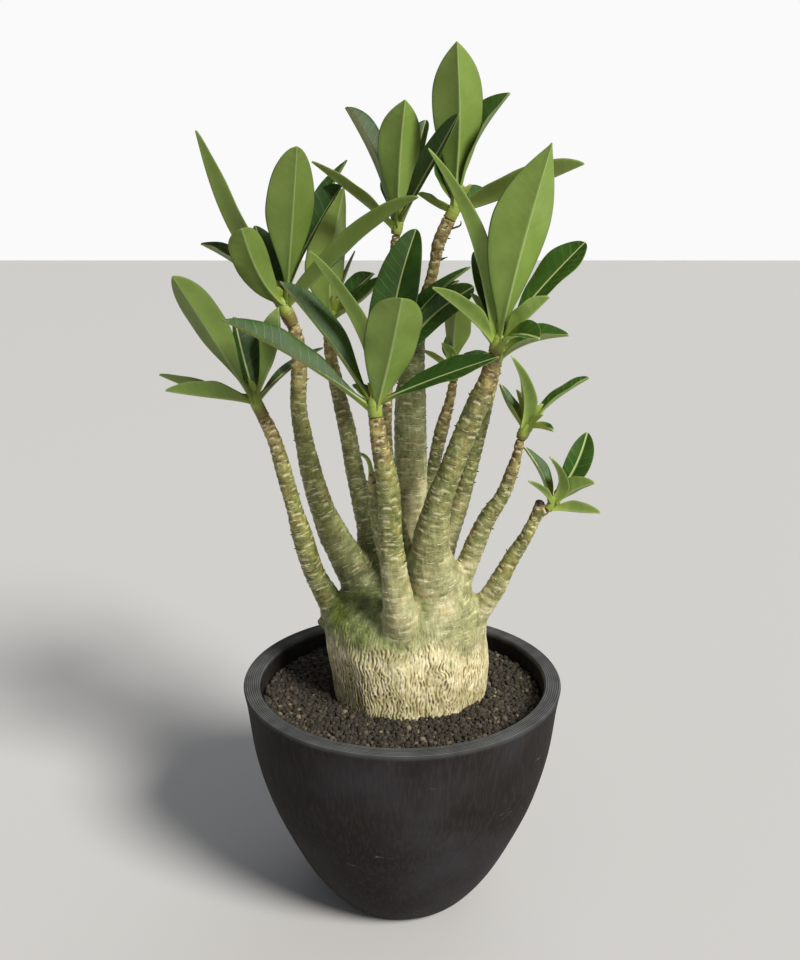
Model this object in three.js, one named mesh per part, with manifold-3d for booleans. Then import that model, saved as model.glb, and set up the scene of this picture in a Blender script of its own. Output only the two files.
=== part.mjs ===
// Potted desert rose: a round tapered pot, the gritty mix in it, the swollen trunk with its
// stems, and a head of leaves on the end of every living stem.
// Millimetres, +Z up, origin at the middle of the pot's underside, -Y is the front.
import * as THREE from 'three';
import Module from 'manifold-3d';

const wasm = await Module();
wasm.setup();
const { Manifold, Mesh } = wasm;

// ---------------------------------------------------------------- driving dimensions
const GAP = 0.35;                 // clear gap between touching pieces
const CUT_PAST = 1;               // a hole's cutter reaches this far past the faces it opens
const POT_HEIGHT = 150;
const POT_SIDES = 40;
const POT_WALL = 10;              // width of the flat rim
const FLOOR_THICK = 9;
const RIM_ROUND = 1.2;
const DRAIN_RADIUS = 5;
const DRAIN_PITCH = 20;           // drain holes lie on this radius
const DRAIN_COUNT = 4;
const DRAIN_SIDES = 16;
// outside of the pot, [height, radius] from the underside to the rim
const POT_OUTSIDE = [
  [0, 40], [2.5, 44.5], [11, 52.5], [27, 63.5], [50, 75], [77, 86.2], [106, 94],
  [138, 98.2], [POT_HEIGHT - RIM_ROUND, 100], [POT_HEIGHT, 100 - RIM_ROUND],
];
// inside of the pot, [height, radius]
const POT_INSIDE = [
  [FLOOR_THICK, 37], [16, 45], [42, 62], [80, 78], [124, 88],
  [POT_HEIGHT - RIM_ROUND, 100 - POT_WALL], [POT_HEIGHT + 0.01, 100 - POT_WALL + RIM_ROUND],
];

const SOIL_LEVEL = 138;
const SOIL_RINGS = 7;
const SOIL_INNER = 40;            // radius where the rings of grain stop, inside the trunk hole
const GRAIN_RELIEF = 1.3;
const GRAIN_SCATTER = 1.2;        // sideways scatter of the grains
const WALL_DIP = 1.2;             // the mix has settled by this much along the wall
const MIX_GAP = GAP * 1.6;        // the mix stays this far from the many-sided wall
const SCATTER_ROW = 50;           // the sideways draws come from rows of their own

const TRUNK_SIDES = 28;
// trunk rings: height, centre x, centre y, half width in x, half depth in y
const TRUNK_RINGS = [
  [99, 6, 8, 32, 30], [106, 6, 8, 41, 39], [120, 6, 8, 45, 44], [138, 4.5, 9, 48.3, 46],
  [150, 4.5, 9, 49.5, 46.6], [162, 3.5, 9, 49.9, 47], [174, 2, 8, 50.2, 46.6],
  [185, 1.5, 8, 50.5, 45], [194, 1, 8, 49, 41.5], [202, 2, 8, 42, 35], [209, 3, 8, 31, 25],
];
const TRUNK_CROWN = 1;            // rise of the trunk's top over its last ring
const LOBE_DEPTH = 1.1;           // depth of the shallow flutes down the trunk
// flutes: how many round the trunk, share of the depth, start angle, turn for each millimetre
const FLUTES = [[3, 1, 0.6, 0.012], [7, 0.6, -1.1, -0.02], [11, 0.45, 2, 0.03]];
const STEM_SIDES = 8;
const STEM_STEP = 13;             // distance between rings along a stem
const SCAR_RELIEF = 0.025;        // ring scars, share of the stem's radius

// stems: points x, y, z, radius from inside the trunk to the cut or living end
const STEMS = {
  far_left: [[-35, 5, 176, 12], [-41, 4, 188, 10], [-45, 2, 199, 7.9], [-54.3, -4, 221, 6.5],
    [-60, -8, 244, 6.5], [-65, -10, 265, 5], [-70, -11, 286, 5], [-75, -12, 306, 4.4],
    [-81, -12, 320, 4.1]],
  low_left: [[-20, 12, 182, 24], [-22, 12, 197, 18], [-28.5, 12, 213, 12], [-42, 12, 238, 9.6],
    [-50, 12, 258, 7.6], [-56, 12, 280, 6.8], [-60, 13, 300, 5.8], [-63, 14, 321, 5.2],
    [-62, 14, 343, 5.1], [-62, 14, 358, 4.4], [-65, 14, 370, 4]],
  back_left: [[-8, 20, 188, 22], [-12, 24, 204, 17], [-17, 28, 222, 12], [-23, 33, 244, 7.4],
    [-30, 38, 272, 6.1], [-35, 41, 300, 5.7], [-41, 44, 326, 4.9], [-45, 45, 348, 4.2],
    [-46, 45, 365, 3.6]],
  front: [[3, -12, 172, 16], [1, -22, 186, 13], [-1, -29.5, 200, 11], [-2.5, -33, 214, 9.4],
    [-5, -35, 234, 8], [-7, -36, 256, 7], [-8, -38, 283, 6.8], [-12, -40, 306, 5.4],
    [-15, -41, 326, 4.4]],
  middle: [[2, 0, 200, 12], [0, -1, 222, 8], [-4, -2, 247, 5.6], [-7, -3, 279, 4.4],
    [-9.5, -4, 304, 3.7], [-9, -4, 324, 3.3], [-8, -4, 337, 3.1]],
  crown: [[10, 9, 180, 22], [10, 10, 200, 17], [9, 10, 217, 13], [7, 11, 240, 10.6],
    [6, 12, 262, 10], [5, 14, 300, 10.1], [5, 16, 325, 9.6], [6, 17, 342, 7.6],
    [9, 16, 364, 5.2], [12, 15, 382, 4.2], [16.5, 14, 395, 3.7], [19, 13, 407, 3.5],
    [21, 12, 417, 4.1], [27, 12, 431, 4.2]],
  top: [[5, 17, 322, 7], [5, 21, 344, 5.2], [3, 24, 363, 3.8], [-1, 29, 383, 3],
    [-5, 31, 402, 2.7], [-4, 31, 422, 3]],
  back_right: [[13, 24, 190, 14], [14, 28, 210, 9.5], [15, 33, 248, 5.6], [20, 35, 278, 4.3],
    [25, 36, 302, 4.6], [30, 36, 321, 3.3], [32, 36, 333, 3]],
  right: [[20, -2, 182, 30], [20, -5, 200, 25], [18, -13, 222, 16.5], [17, -20, 246, 11],
    [21, -26, 272, 8], [27, -29, 290, 7], [36, -32, 316, 6.6], [42, -33, 331, 6.6],
    [48, -34, 348, 5], [51, -34, 360, 4.2]],
  behind_right: [[26, 4, 190, 22], [26, 5, 208, 16.5], [26, 8, 228, 6.8], [35, 12, 257, 5.8],
    [41, 13, 279, 4.9], [47, 14, 306, 4.9], [52, 15, 328, 4.5], [56, 15, 346, 4.2]],
  outer_right: [[30, 0, 182, 20], [33, -1, 200, 12], [36.7, -3, 216, 7], [43, -5, 235, 6.6],
    [51, -7, 256, 5.6], [60, -8, 271, 4.5], [65, -9, 286, 4.1], [68, -9, 297, 3.1],
    [69.5, -9, 306, 3]],
  stump: [[36, -1, 166, 15], [40.5, -2, 180, 11.5], [47.7, -4, 195, 7.4], [57, -5, 210, 6.4],
    [66, -6, 229, 5.1], [76, -7, 247, 4.1], [81, -7, 260, 3.4], [83, -7, 268, 2.9]],
  side_shoot: [[78, -7, 252, 3.2], [83, -7.3, 259, 2.9], [87.5, -8, 262.5, 2.8]],
  short_stub: [[-8, -24, 236, 6], [-11.5, -25, 248, 5.2], [-14.5, -26, 262, 4.4],
    [-16.5, -27, 280, 4], [-17, -27.5, 291, 2.6]],
};
const COLLAR = [-49.5, 0, 186, 3.8];     // small swelling on the left shoulder: x, y, z, radius
const COLLAR_STEP = 2;
// place of each of its rings and their radii, in shares of that radius
const COLLAR_RINGS = [[1, 0.25], [0.6, 0.8], [0, 1], [-0.7, 0.7], [-1, 0.3]];

// leaf heads: the middle of the green shoot tip, x, y, z and its radius
const HEADS = {
  far_left: [-86, -12, 330.5, 4.2],
  low_left: [-71, 14, 382.5, 5],
  back_left: [-44.5, 45, 371, 3.8],
  front: [-15.5, -41, 332, 4.6],
  middle: [-7, -4, 343, 3.6],
  crown: [30.5, 12, 437.5, 4.2],
  top: [-2.5, 31, 428, 3.8],
  back_right: [31.5, 36, 340.5, 3.6],
  right: [53, -34, 367.5, 4.8],
  behind_right: [58, 15, 354, 4],
  outer_right: [73, -9, 313.5, 4],
  side_shoot: [90.5, -8, 266, 3],
};
// blade shapes: place of the widest point, slimness of the foot, fullness of the tip, point of
// the tip, rise of the edges over the midrib as a share of the half width, lean of the bend
const LEAF_SHAPES = {
  broad: [0.62, 2.2, 2.8, 0.7, 0.2, 1],
  paddle: [0.62, 2.2, 2, 0.6, 0.2, 1],
  spatula: [0.7, 1.9, 2.6, 0.6, 0.1, 1],
  oblong: [0.64, 0.8, 3, 0.6, 0.2, 0.8],
  blunt: [0.66, 1, 3, 0.6, 0.2, 1],
  folded: [0.64, 1.1, 3, 0.6, 0.35, 1],
  oval: [0.6, 1.3, 2, 0.7, 0.25, 1],
  pointed: [0.64, 1.5, 2.5, 0.95, 0.3, 1],
  keel: [0.6, 1.4, 1.75, 1.05, 0.3, 1],
  flat: [0.6, 1.7, 2.3, 0.95, 0.1, 1],
  egg: [0.42, 1.1, 2, 0.55, 0.15, 1],
  ovate: [0.42, 1.2, 1.8, 0.8, 0.2, 1],
  lance: [0.5, 1.1, 1.7, 0.75, 0.3, 1],
  dart: [0.4, 1, 1.5, 1, 0.25, 1],
  arched: [0.5, 1.1, 1.7, 0.75, 0.25, 0.7],
  hooked: [0.45, 1.1, 1.6, 0.9, 0.25, 1.2],
  strap: [0.5, 0.6, 3.2, 0.7, 0.25, 1.8],
  belt: [0.5, 0.6, 2.8, 0.8, 0.25, 0.6],
  spoon: [0.74, 1.8, 2.4, 0.7, 0.3, 1],
  trough: [0.62, 1.2, 2.6, 0.6, 0.55, 1],
};
// leaves of each head: shape, tip from the head, how far the middle of the blade bends out of
// the straight line from foot to tip, both x, y, z, then width and turn about that line in degrees
const LEAVES = {
  far_left: [
    ['broad', [-38, -22, 71], [0, 0, 0], 22, 45],
    ['lance', [-13, 20, 45], [-0.7, 0, 0], 22, 15],
    ['pointed', [14, 12, 51], [4.9, 0, 0.3], 18, -75],
    ['lance', [35, 70, 20.5], [-0.7, 0, 2.4], 8, 0],
    ['lance', [-48, -12, 7], [-0.3, 0, -0.6], 17, 35],
    ['lance', [-57, 14, 12], [0, 0, -3.2], 13, 30],
    ['oval', [-33, 38, 40], [0, 0, 0], 20, 5]],
  low_left: [
    ['paddle', [12.5, -16, 87.5], [0.5, 0, 0], 29, -12],
    ['oblong', [-18.5, -26, 43.5], [-3.3, 0, -1.8], 21, 55],
    ['lance', [-44.5, -6, 96.5], [-6.8, 0, -3.5], 20, 24],
    ['oval', [-17.5, 22, 44.5], [0, 0, 0], 18, 0],
    ['lance', [-48.5, 12, 34.5], [0.9, 0, 3.6], 20, -10],
    ['trough', [35.5, 14, 67.5], [-1.8, 0, 0.9], 17, 39],
    ['strap', [79.5, -34, 60.5], [-1.8, 0, 2.4], 17, -20],
    ['lance', [-2, 8, 13], [0, 0, 0], 7, 30],
    ['pointed', [37.5, 30, 82.5], [-3, 0, 0], 14, 0],
    ['oval', [-21.5, 48, 26.5], [0, 0, 0], 18, 10]],
  back_left: [
    ['ovate', [9, 0, 78], [-3, 0, 0], 29, -54],
    ['pointed', [27, 6, 27], [0, 0, 1.5], 15, 30],
    ['lance', [33, -6, 26], [1.8, 0, -2.3], 15, 35],
    ['lance', [14, 24, 40], [0, 0, 2], 3.4, -20],
    ['oval', [4, 40, 61], [0, 0, 0], 20, -40]],
  front: [
    ['blunt', [15, -20, 60], [1, 0, 0], 30, -27],
    ['arched', [-34, 4, 83], [7.7, 0, 2.9], 15, 40],
    ['pointed', [-52, 18, 66], [1.4, 0, 1], 20.5, -10],
    ['pointed', [-81, -2, 47], [0.9, 0, 2.4], 19, -20],
    ['oval', [-12, 10, 10], [0, 0, 0], 12, 0],
    ['flat', [67, -8, 28], [0, 0, 1.1], 22, 25]],
  middle: [
    ['egg', [15, 16, 82.5], [-4.5, 0, 0], 28, 30],
    ['blunt', [48, 4, 50.5], [-4.6, 0, 4.2], 16, 70],
    ['lance', [46, 8, 61.5], [-6.4, 0, 4.6], 14, 15],
    ['lance', [40, 12, 53.5], [-7, 0, 5], 12, 30]],
  crown: [
    ['pointed', [-1, -9, 87], [2.7, 0, 0], 29, 0],
    ['pointed', [30, 6, 62.5], [-4.8, 0, 2.3], 24, 20],
    ['belt', [70, -16, 23.5], [1.2, 0, -2.9], 23, -24],
    ['oval', [21, 20, 9], [0, 0, 2.5], 14, 15],
    ['belt', [-21, 14, 8], [-1.2, 0, -2.3], 9, 30],
    ['lance', [-9, 14, 30], [-2, 0, 0], 15, -10],
    ['oval', [3, 42, 62], [0, 0, 0], 24, -40]],
  top: [
    ['pointed', [4, -16, 68], [-0.7, 0, 0], 25, -10],
    ['folded', [-31, 16, 67], [2.6, 0, 1.1], 20, 0],
    ['oval', [33, -45, 58], [-0.7, 0, -1.1], 15, 85],
    ['lance', [-49, -16, 35], [-0.2, 0, -0.1], 12, 5],
    ['oval', [10, 26, 33], [0, 0, 0], 14, 0],
    ['spoon', [17, 30, 61], [0, 0, 0], 14, 0],
    ['oval', [2, 44, 49], [0, 0, 0], 22, -40]],
  back_right: [
    ['broad', [2, -12, 44], [-1, 0, 0], 18.5, -40],
    ['lance', [-19, -8, 13], [0, 0, 0], 6, 15],
    ['lance', [-7, -6, 17], [0, 0, 0], 11, 0],
    ['oval', [23, 16, 8], [0, 0, 0], 14, 5],
    ['oval', [4, 30, 23], [0, 0, 0], 16, -45]],
  right: [
    ['keel', [22, -20, 101], [-0.9, 0, -0.7], 34, -35],
    ['hooked', [-39, 6, 100], [5.3, 0, 1.8], 16, 38],
    ['spatula', [46.5, 10, 51.5], [-1, 0, 1], 24, 25],
    ['lance', [-37, -12, 29], [0.5, 0, 0.5], 14, 20],
    ['oval', [-13, 22, 46], [0, 0, 0], 18, 0],
    ['lance', [-15, 12, 24], [0, 0, 0], 8, 60],
    ['oval', [25, -10, 24], [0, 0, 0], 18, -15],
    ['oval', [19, -22, 3], [0, 0, 2.4], 16, 27],
    ['oval', [22, 44, 71], [0, 0, 0], 24, -20]],
  behind_right: [
    ['lance', [40, -8, 11], [-1, 0, 2.5], 20, 15],
    ['oval', [-10, 30, 12], [0, 0, 0], 14, 15],
    ['oval', [17, 28, 10], [0, 0, 0], 15, 0]],
  outer_right: [
    ['dart', [-11, -10, 43], [3.6, 0, 1], 13, -10],
    ['lance', [-15, 12, 23], [-1.8, 0, -1], 11, 10],
    ['lance', [-5, 10, 20], [0, 0, 0], 9, 40],
    ['oblong', [36, 6, 28], [-2.2, 0, 2.6], 12, 0],
    ['oval', [8, -8, 9], [0, 0, 0], 7, -10],
    ['lance', [14, -12, 0], [0, 0, 0.4], 8, 0]],
  side_shoot: [
    ['oval', [20, 8, 42], [3.2, 0, 0], 15.5, 65],
    ['dart', [-4, -8, 31], [5.3, 0, 0], 11.5, -45],
    ['lance', [22, -12, 16], [0, 0, 2.2], 13, -50],
    ['lance', [27, -8, -3], [0, 0, -0.8], 12, -40],
    ['lance', [-17, 12, 32], [1.6, 0, 0.9], 11, 0],
    ['lance', [-17, -14, 18], [0.1, 0, 0.6], 6, 0]],
};
const LEAF_STATIONS = [0, 0.16, 0.36, 0.57, 0.76, 0.91, 1];
const LEAF_EDGE = 0.8;            // blade thickness at its edge
const LEAF_RIB = 1.3;             // blade thickness at the midrib
const LEAF_FOOT = 1.7;            // half width of the leaf's foot
const LEAF_TIP = 0.5;             // half width at the very tip
const FOOT_RIB = 1.2;             // extra thickness of the midrib at the foot
const FOOT_EDGE = 0.6;            // extra thickness of the edges at the foot
const SHOOT_SIDES = 6;
// radii up the green shoot tip: share of the stem's at its neck, of the head's at its top and tip
const SHOOT_NECK = 0.92;
const SHOOT_TOP = 0.9;
const SHOOT_TIP = 0.35;
const SHOOT_BULGE = 0.55;         // it is widest at this share of the way to the head's middle
const SHOOT_PAST = [2, 6];        // its top and tip lie this far past the head's middle
const FOOT_STEP = 1.6;            // leaf feet sit at three heights this far apart
const FOOT_OUT = 0.25;            // and this share of the head's radius off its middle

// ---------------------------------------------------------------- materials
const POT_MATERIAL = new THREE.MeshStandardMaterial({ color: 0x2e2c2a, roughness: 0.75 });
const SOIL_MATERIAL = new THREE.MeshStandardMaterial({ color: 0x4a4036, roughness: 1 });
const BARK_MATERIAL = new THREE.MeshStandardMaterial({ color: 0x9a9a72, roughness: 0.8 });
const LEAF_MATERIAL = new THREE.MeshStandardMaterial({ color: 0x5a7a2e, roughness: 0.55 });

// ---------------------------------------------------------------- helpers
const vec = (p) => new THREE.Vector3(p[0], p[1], p[2]);

// repeatable value between 0 and 1 for a pair of whole numbers
function draw(a, b) {
  const s = Math.sin(a * 127.1 + b * 311.7 + 17.3) * 43758.5453;
  return s - Math.floor(s);
}

function solid(points, triangles) {
  const vertProperties = new Float32Array(points.flat());
  const triVerts = new Uint32Array(triangles.flat());
  const mesh = new Mesh({ numProp: 3, vertProperties, triVerts });
  mesh.merge();
  return new Manifold(mesh);
}

// closed skin over rings with the same number of points, each counter-clockwise seen from
// the far end, with a middle point at each end
function loft(rings, firstMiddle, lastMiddle) {
  const count = rings[0].length;
  const points = rings.flat();
  const triangles = [];
  for (let k = 0; k + 1 < rings.length; k += 1) {
    for (let i = 0; i < count; i += 1) {
      const a = k * count + i;
      const b = k * count + ((i + 1) % count);
      triangles.push([a, b, b + count], [a, b + count, a + count]);
    }
  }
  const last = (rings.length - 1) * count;
  const first = points.push(firstMiddle) - 1;
  const end = points.push(lastMiddle) - 1;
  for (let i = 0; i < count; i += 1) {
    const next = (i + 1) % count;
    triangles.push([first, next, i], [end, last + i, last + next]);
  }
  return solid(points, triangles);
}

function circle(radius, height, sides, cx = 0, cy = 0) {
  const ring = [];
  for (let i = 0; i < sides; i += 1) {
    const a = (i / sides) * 2 * Math.PI;
    ring.push([cx + radius * Math.cos(a), cy + radius * Math.sin(a), height]);
  }
  return ring;
}

function turned(profile, sides, cx = 0, cy = 0) {
  const rings = profile.map(([height, radius]) => circle(radius, height, sides, cx, cy));
  const bottom = profile[0][0];
  const top = profile[profile.length - 1][0];
  return loft(rings, [cx, cy, bottom], [cx, cy, top]);
}

function meshOf(name, manifold, material) {
  const result = manifold.getMesh();
  const geometry = new THREE.BufferGeometry();
  const position = new Float32Array(result.vertProperties);
  geometry.setAttribute('position', new THREE.BufferAttribute(position, 3));
  geometry.setIndex(Array.from(result.triVerts));
  geometry.computeVertexNormals();
  const mesh = new THREE.Mesh(geometry, material);
  mesh.name = name;
  return mesh;
}

// ---------------------------------------------------------------- pot
function pot() {
  let body = turned(POT_OUTSIDE, POT_SIDES).subtract(turned(POT_INSIDE, POT_SIDES));
  for (let i = 0; i < DRAIN_COUNT; i += 1) {
    const a = ((i + 0.5) / DRAIN_COUNT) * 2 * Math.PI;
    const x = DRAIN_PITCH * Math.cos(a);
    const y = DRAIN_PITCH * Math.sin(a);
    const drain = [[-CUT_PAST, DRAIN_RADIUS], [FLOOR_THICK + CUT_PAST, DRAIN_RADIUS]];
    body = body.subtract(turned(drain, DRAIN_SIDES, x, y));
  }
  return body;
}

function insideRadius(height) {
  for (let i = 1; i < POT_INSIDE.length; i += 1) {
    const [h0, r0] = POT_INSIDE[i - 1];
    const [h1, r1] = POT_INSIDE[i];
    if (height <= h1) return r0 + ((height - h0) / (h1 - h0)) * (r1 - r0);
  }
  return POT_INSIDE[POT_INSIDE.length - 1][1];
}

// ---------------------------------------------------------------- potting mix
function substrate() {
  const rings = [];
  const under = POT_INSIDE.filter(([height]) => height < SOIL_LEVEL);
  for (const [wallHeight] of under) {
    const height = Math.max(wallHeight, FLOOR_THICK + GAP);
    rings.push(circle(insideRadius(height) - MIX_GAP, height, POT_SIDES));
  }
  const outer = insideRadius(SOIL_LEVEL) - MIX_GAP;
  for (let k = 0; k <= SOIL_RINGS; k += 1) {
    const radius = outer + (k / SOIL_RINGS) * (SOIL_INNER - outer);
    const ring = circle(radius, SOIL_LEVEL, POT_SIDES);
    ring.forEach((point, i) => {
      const jitter = k === 0 ? 0 : (draw(i, k + SCATTER_ROW) - 0.5) * 2 * GRAIN_SCATTER;
      point[0] *= 1 + jitter / radius;
      point[1] *= 1 + jitter / radius;
      point[2] += (draw(i, k) - 0.5) * 2 * GRAIN_RELIEF - (k === 0 ? WALL_DIP : 0);
    });
    rings.push(ring);
  }
  const body = loft(rings, [0, 0, FLOOR_THICK + GAP], [0, 0, SOIL_LEVEL]);
  return body.subtract(trunkBody(GAP * 2));
}

// ---------------------------------------------------------------- trunk and stems
function trunkBody(grow) {
  const rings = TRUNK_RINGS.map(([height, cx, cy, rx, ry]) => {
    const ring = [];
    for (let i = 0; i < TRUNK_SIDES; i += 1) {
      const a = (i / TRUNK_SIDES) * 2 * Math.PI;
      let extra = grow;
      for (const [count, share, start, twist] of FLUTES) {
        extra += LOBE_DEPTH * share * Math.sin(count * a + start + twist * height);
      }
      ring.push([cx + (rx + extra) * Math.cos(a), cy + (ry + extra) * Math.sin(a), height]);
    }
    return ring;
  });
  const bottom = TRUNK_RINGS[0];
  const top = TRUNK_RINGS[TRUNK_RINGS.length - 1];
  rings[0].forEach((point) => { point[2] -= grow; });
  return loft(rings, [bottom[1], bottom[2], bottom[0] - grow], [top[1], top[2], top[0] + TRUNK_CROWN]);
}

// points along a stem at even steps, with the radius at each
function stemStations(path, step) {
  const curve = new THREE.CatmullRomCurve3(path.map(vec), false, 'centripetal');
  const segments = Math.max(2, Math.round(curve.getLength() / step));
  const stations = [];
  for (let k = 0; k <= segments; k += 1) {
    const u = curve.getUtoTmapping(k / segments);
    const place = u * (path.length - 1);
    const i = Math.min(Math.floor(place), path.length - 2);
    const blend = place - i;
    const smooth = blend * blend * (3 - 2 * blend);
    const radius = path[i][3] + smooth * (path[i + 1][3] - path[i][3]);
    stations.push({ point: curve.getPoint(u), tangent: curve.getTangent(u), radius });
  }
  return stations;
}

function tube(stations, sides, relief) {
  let side = new THREE.Vector3(1, 0, 0);
  const rings = stations.map(({ point, tangent, radius }, k) => {
    side = side.clone().addScaledVector(tangent, -side.dot(tangent)).normalize();
    const other = new THREE.Vector3().crossVectors(tangent, side);
    const scar = k === 0 || k === stations.length - 1 ? 0 : (k % 2 ? relief : -relief);
    const ring = [];
    for (let i = 0; i < sides; i += 1) {
      const a = (i / sides) * 2 * Math.PI;
      const uneven = 1 + scar + (draw(i, k + Math.round(radius * 10)) - 0.5) * relief;
      const p = point.clone();
      p.addScaledVector(side, radius * uneven * Math.cos(a));
      p.addScaledVector(other, radius * uneven * Math.sin(a));
      ring.push([p.x, p.y, p.z]);
    }
    return ring;
  });
  const first = stations[0].point;
  const last = stations[stations.length - 1].point;
  return loft(rings, [first.x, first.y, first.z], [last.x, last.y, last.z]);
}

function caudex() {
  const parts = [trunkBody(0)];
  for (const path of Object.values(STEMS)) {
    parts.push(tube(stemStations(path, STEM_STEP), STEM_SIDES, SCAR_RELIEF));
  }
  const [x, y, z, r] = COLLAR;
  const swelling = COLLAR_RINGS.map(([reach, share]) => [x + r * reach, y, z, r * share]);
  parts.push(tube(stemStations(swelling, COLLAR_STEP), STEM_SIDES, 0));
  return Manifold.union(parts);
}

// ---------------------------------------------------------------- leaf heads
// half width of a leaf at t from foot to tip, as a share of its greatest half width
function outline(t, [widest, slimness, fullness, point]) {
  if (t < widest) return Math.pow(Math.sin((Math.PI / 2) * (t / widest)), slimness);
  const past = (t - widest) / (1 - widest);
  return Math.pow(Math.max(0, 1 - Math.pow(past, fullness)), point);
}

// one leaf: rings of six points, three on each face, with the midrib between the raised edges
function leaf(foot, tip, [shape, , bendTo, width, turn]) {
  const form = LEAF_SHAPES[shape];
  const [fold, lean] = form.slice(4);
  const bend = vec(bendTo);
  const chord = tip.clone().sub(foot);
  const length = chord.length();
  chord.normalize();
  const face = new THREE.Vector3(0, 0, 1);
  face.addScaledVector(chord, -face.dot(chord)).normalize();
  face.applyAxisAngle(chord, (turn * Math.PI) / 180);
  const points = [];
  for (const t of LEAF_STATIONS) {
    const phase = Math.PI * Math.pow(t, lean);
    const slope = Math.PI * lean * Math.pow(Math.max(t, 0.01), lean - 1) * Math.cos(phase);
    const middle = foot.clone().addScaledVector(chord, length * t);
    middle.addScaledVector(bend, Math.sin(phase));
    const tangent = chord.clone().multiplyScalar(length).addScaledVector(bend, slope).normalize();
    const side = new THREE.Vector3().crossVectors(tangent, face).normalize();
    const up = new THREE.Vector3().crossVectors(side, tangent);
    const half = Math.max(LEAF_FOOT + t * (LEAF_TIP - LEAF_FOOT), (width / 2) * outline(t, form));
    const nearFoot = Math.pow(1 - t, 4);
    const rib = LEAF_RIB + FOOT_RIB * nearFoot;
    const edge = LEAF_EDGE + FOOT_EDGE * nearFoot;
    const rise = half * fold;
    const at = (s, h) => middle.clone().addScaledVector(side, s).addScaledVector(up, h).toArray();
    points.push(at(-half, rise), at(0, 0), at(half, rise));
    points.push(at(-half, rise - edge), at(0, -rib), at(half, rise - edge));
  }
  const triangles = [];
  const quad = (a, b, c, d) => triangles.push([a, b, c], [a, c, d]);
  for (let k = 0; k + 1 < LEAF_STATIONS.length; k += 1) {
    const n = k * 6;
    const m = n + 6;
    triangles.push([n, n + 1, m], [n + 1, m + 1, m]);
    triangles.push([n + 1, n + 2, m + 2], [n + 1, m + 2, m + 1]);
    triangles.push([n + 3, m + 3, n + 4], [n + 4, m + 3, m + 4]);
    triangles.push([n + 4, m + 5, n + 5], [n + 4, m + 4, m + 5]);
    quad(n, m, m + 3, n + 3);
    quad(n + 2, n + 5, m + 5, m + 2);
  }
  const e = (LEAF_STATIONS.length - 1) * 6;
  quad(0, 3, 4, 1);
  quad(1, 4, 5, 2);
  quad(e, e + 1, e + 4, e + 3);
  quad(e + 1, e + 2, e + 5, e + 4);
  return solid(points, triangles);
}

function head(name) {
  const [x, y, z, radius] = HEADS[name];
  const centre = new THREE.Vector3(x, y, z);
  const path = STEMS[name];
  const stemEnd = vec(path[path.length - 1]);
  const along = centre.clone().sub(stemEnd);
  const rise = along.length();
  along.normalize();
  const curve = new THREE.CatmullRomCurve3(path.map(vec), false, 'centripetal');
  const ending = curve.getTangent(1);
  const start = stemEnd.clone().addScaledVector(ending, GAP);
  const shoot = [];
  const stemRadius = path[path.length - 1][3];
  const radii = [stemRadius * SHOOT_NECK, radius, radius * SHOOT_TOP, radius * SHOOT_TIP];
  const places = [0, rise * SHOOT_BULGE, rise + SHOOT_PAST[0], rise + SHOOT_PAST[1]];
  radii.forEach((r, k) => {
    const tangent = k === 0 ? ending : along;
    shoot.push({ point: start.clone().addScaledVector(along, places[k]), tangent, radius: r });
  });
  const parts = [tube(shoot, SHOOT_SIDES, 0)];
  LEAVES[name].forEach((row, i) => {
    const out = vec(row[1]);
    const tip = centre.clone().add(out);
    out.addScaledVector(along, -out.dot(along)).normalize();
    const foot = centre.clone().addScaledVector(along, ((i % 3) - 1) * FOOT_STEP);
    foot.addScaledVector(out, radius * FOOT_OUT);
    parts.push(leaf(foot, tip, row));
  });
  return Manifold.union(parts);
}

// ---------------------------------------------------------------- the whole part
const group = new THREE.Group();
group.name = 'potted_desert_rose';
group.add(meshOf('pot', pot(), POT_MATERIAL));
group.add(meshOf('substrate', substrate(), SOIL_MATERIAL));
group.add(meshOf('caudex', caudex(), BARK_MATERIAL));
for (const name of Object.keys(HEADS)) {
  group.add(meshOf(`leaf_head_${name}`, head(name), LEAF_MATERIAL));
}

export default group;
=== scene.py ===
import math
import random

import bpy
import numpy as np
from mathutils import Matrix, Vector, noise


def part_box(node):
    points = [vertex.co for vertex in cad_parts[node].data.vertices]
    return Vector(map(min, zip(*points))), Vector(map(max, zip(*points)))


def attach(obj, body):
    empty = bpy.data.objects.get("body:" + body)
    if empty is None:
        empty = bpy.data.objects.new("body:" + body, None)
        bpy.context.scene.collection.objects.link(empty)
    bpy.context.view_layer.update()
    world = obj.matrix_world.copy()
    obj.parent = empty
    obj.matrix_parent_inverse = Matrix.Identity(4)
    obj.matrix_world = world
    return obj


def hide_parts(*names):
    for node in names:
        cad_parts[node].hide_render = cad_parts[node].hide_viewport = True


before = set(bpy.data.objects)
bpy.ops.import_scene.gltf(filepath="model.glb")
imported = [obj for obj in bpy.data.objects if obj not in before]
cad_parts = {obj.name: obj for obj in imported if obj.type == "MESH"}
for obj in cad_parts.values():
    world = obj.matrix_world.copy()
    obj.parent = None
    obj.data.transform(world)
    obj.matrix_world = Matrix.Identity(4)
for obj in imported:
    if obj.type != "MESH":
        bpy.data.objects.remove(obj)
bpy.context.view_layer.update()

# A desert rose in a round charcoal pot: turned pot, gritty mix, swollen wrinkled trunk with
# ringed stems, and leathery leaves in a head on every living stem.
# Shapes are worked out in millimetres and written to the meshes in metres; -Y is the front.
MM = 0.001

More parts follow.
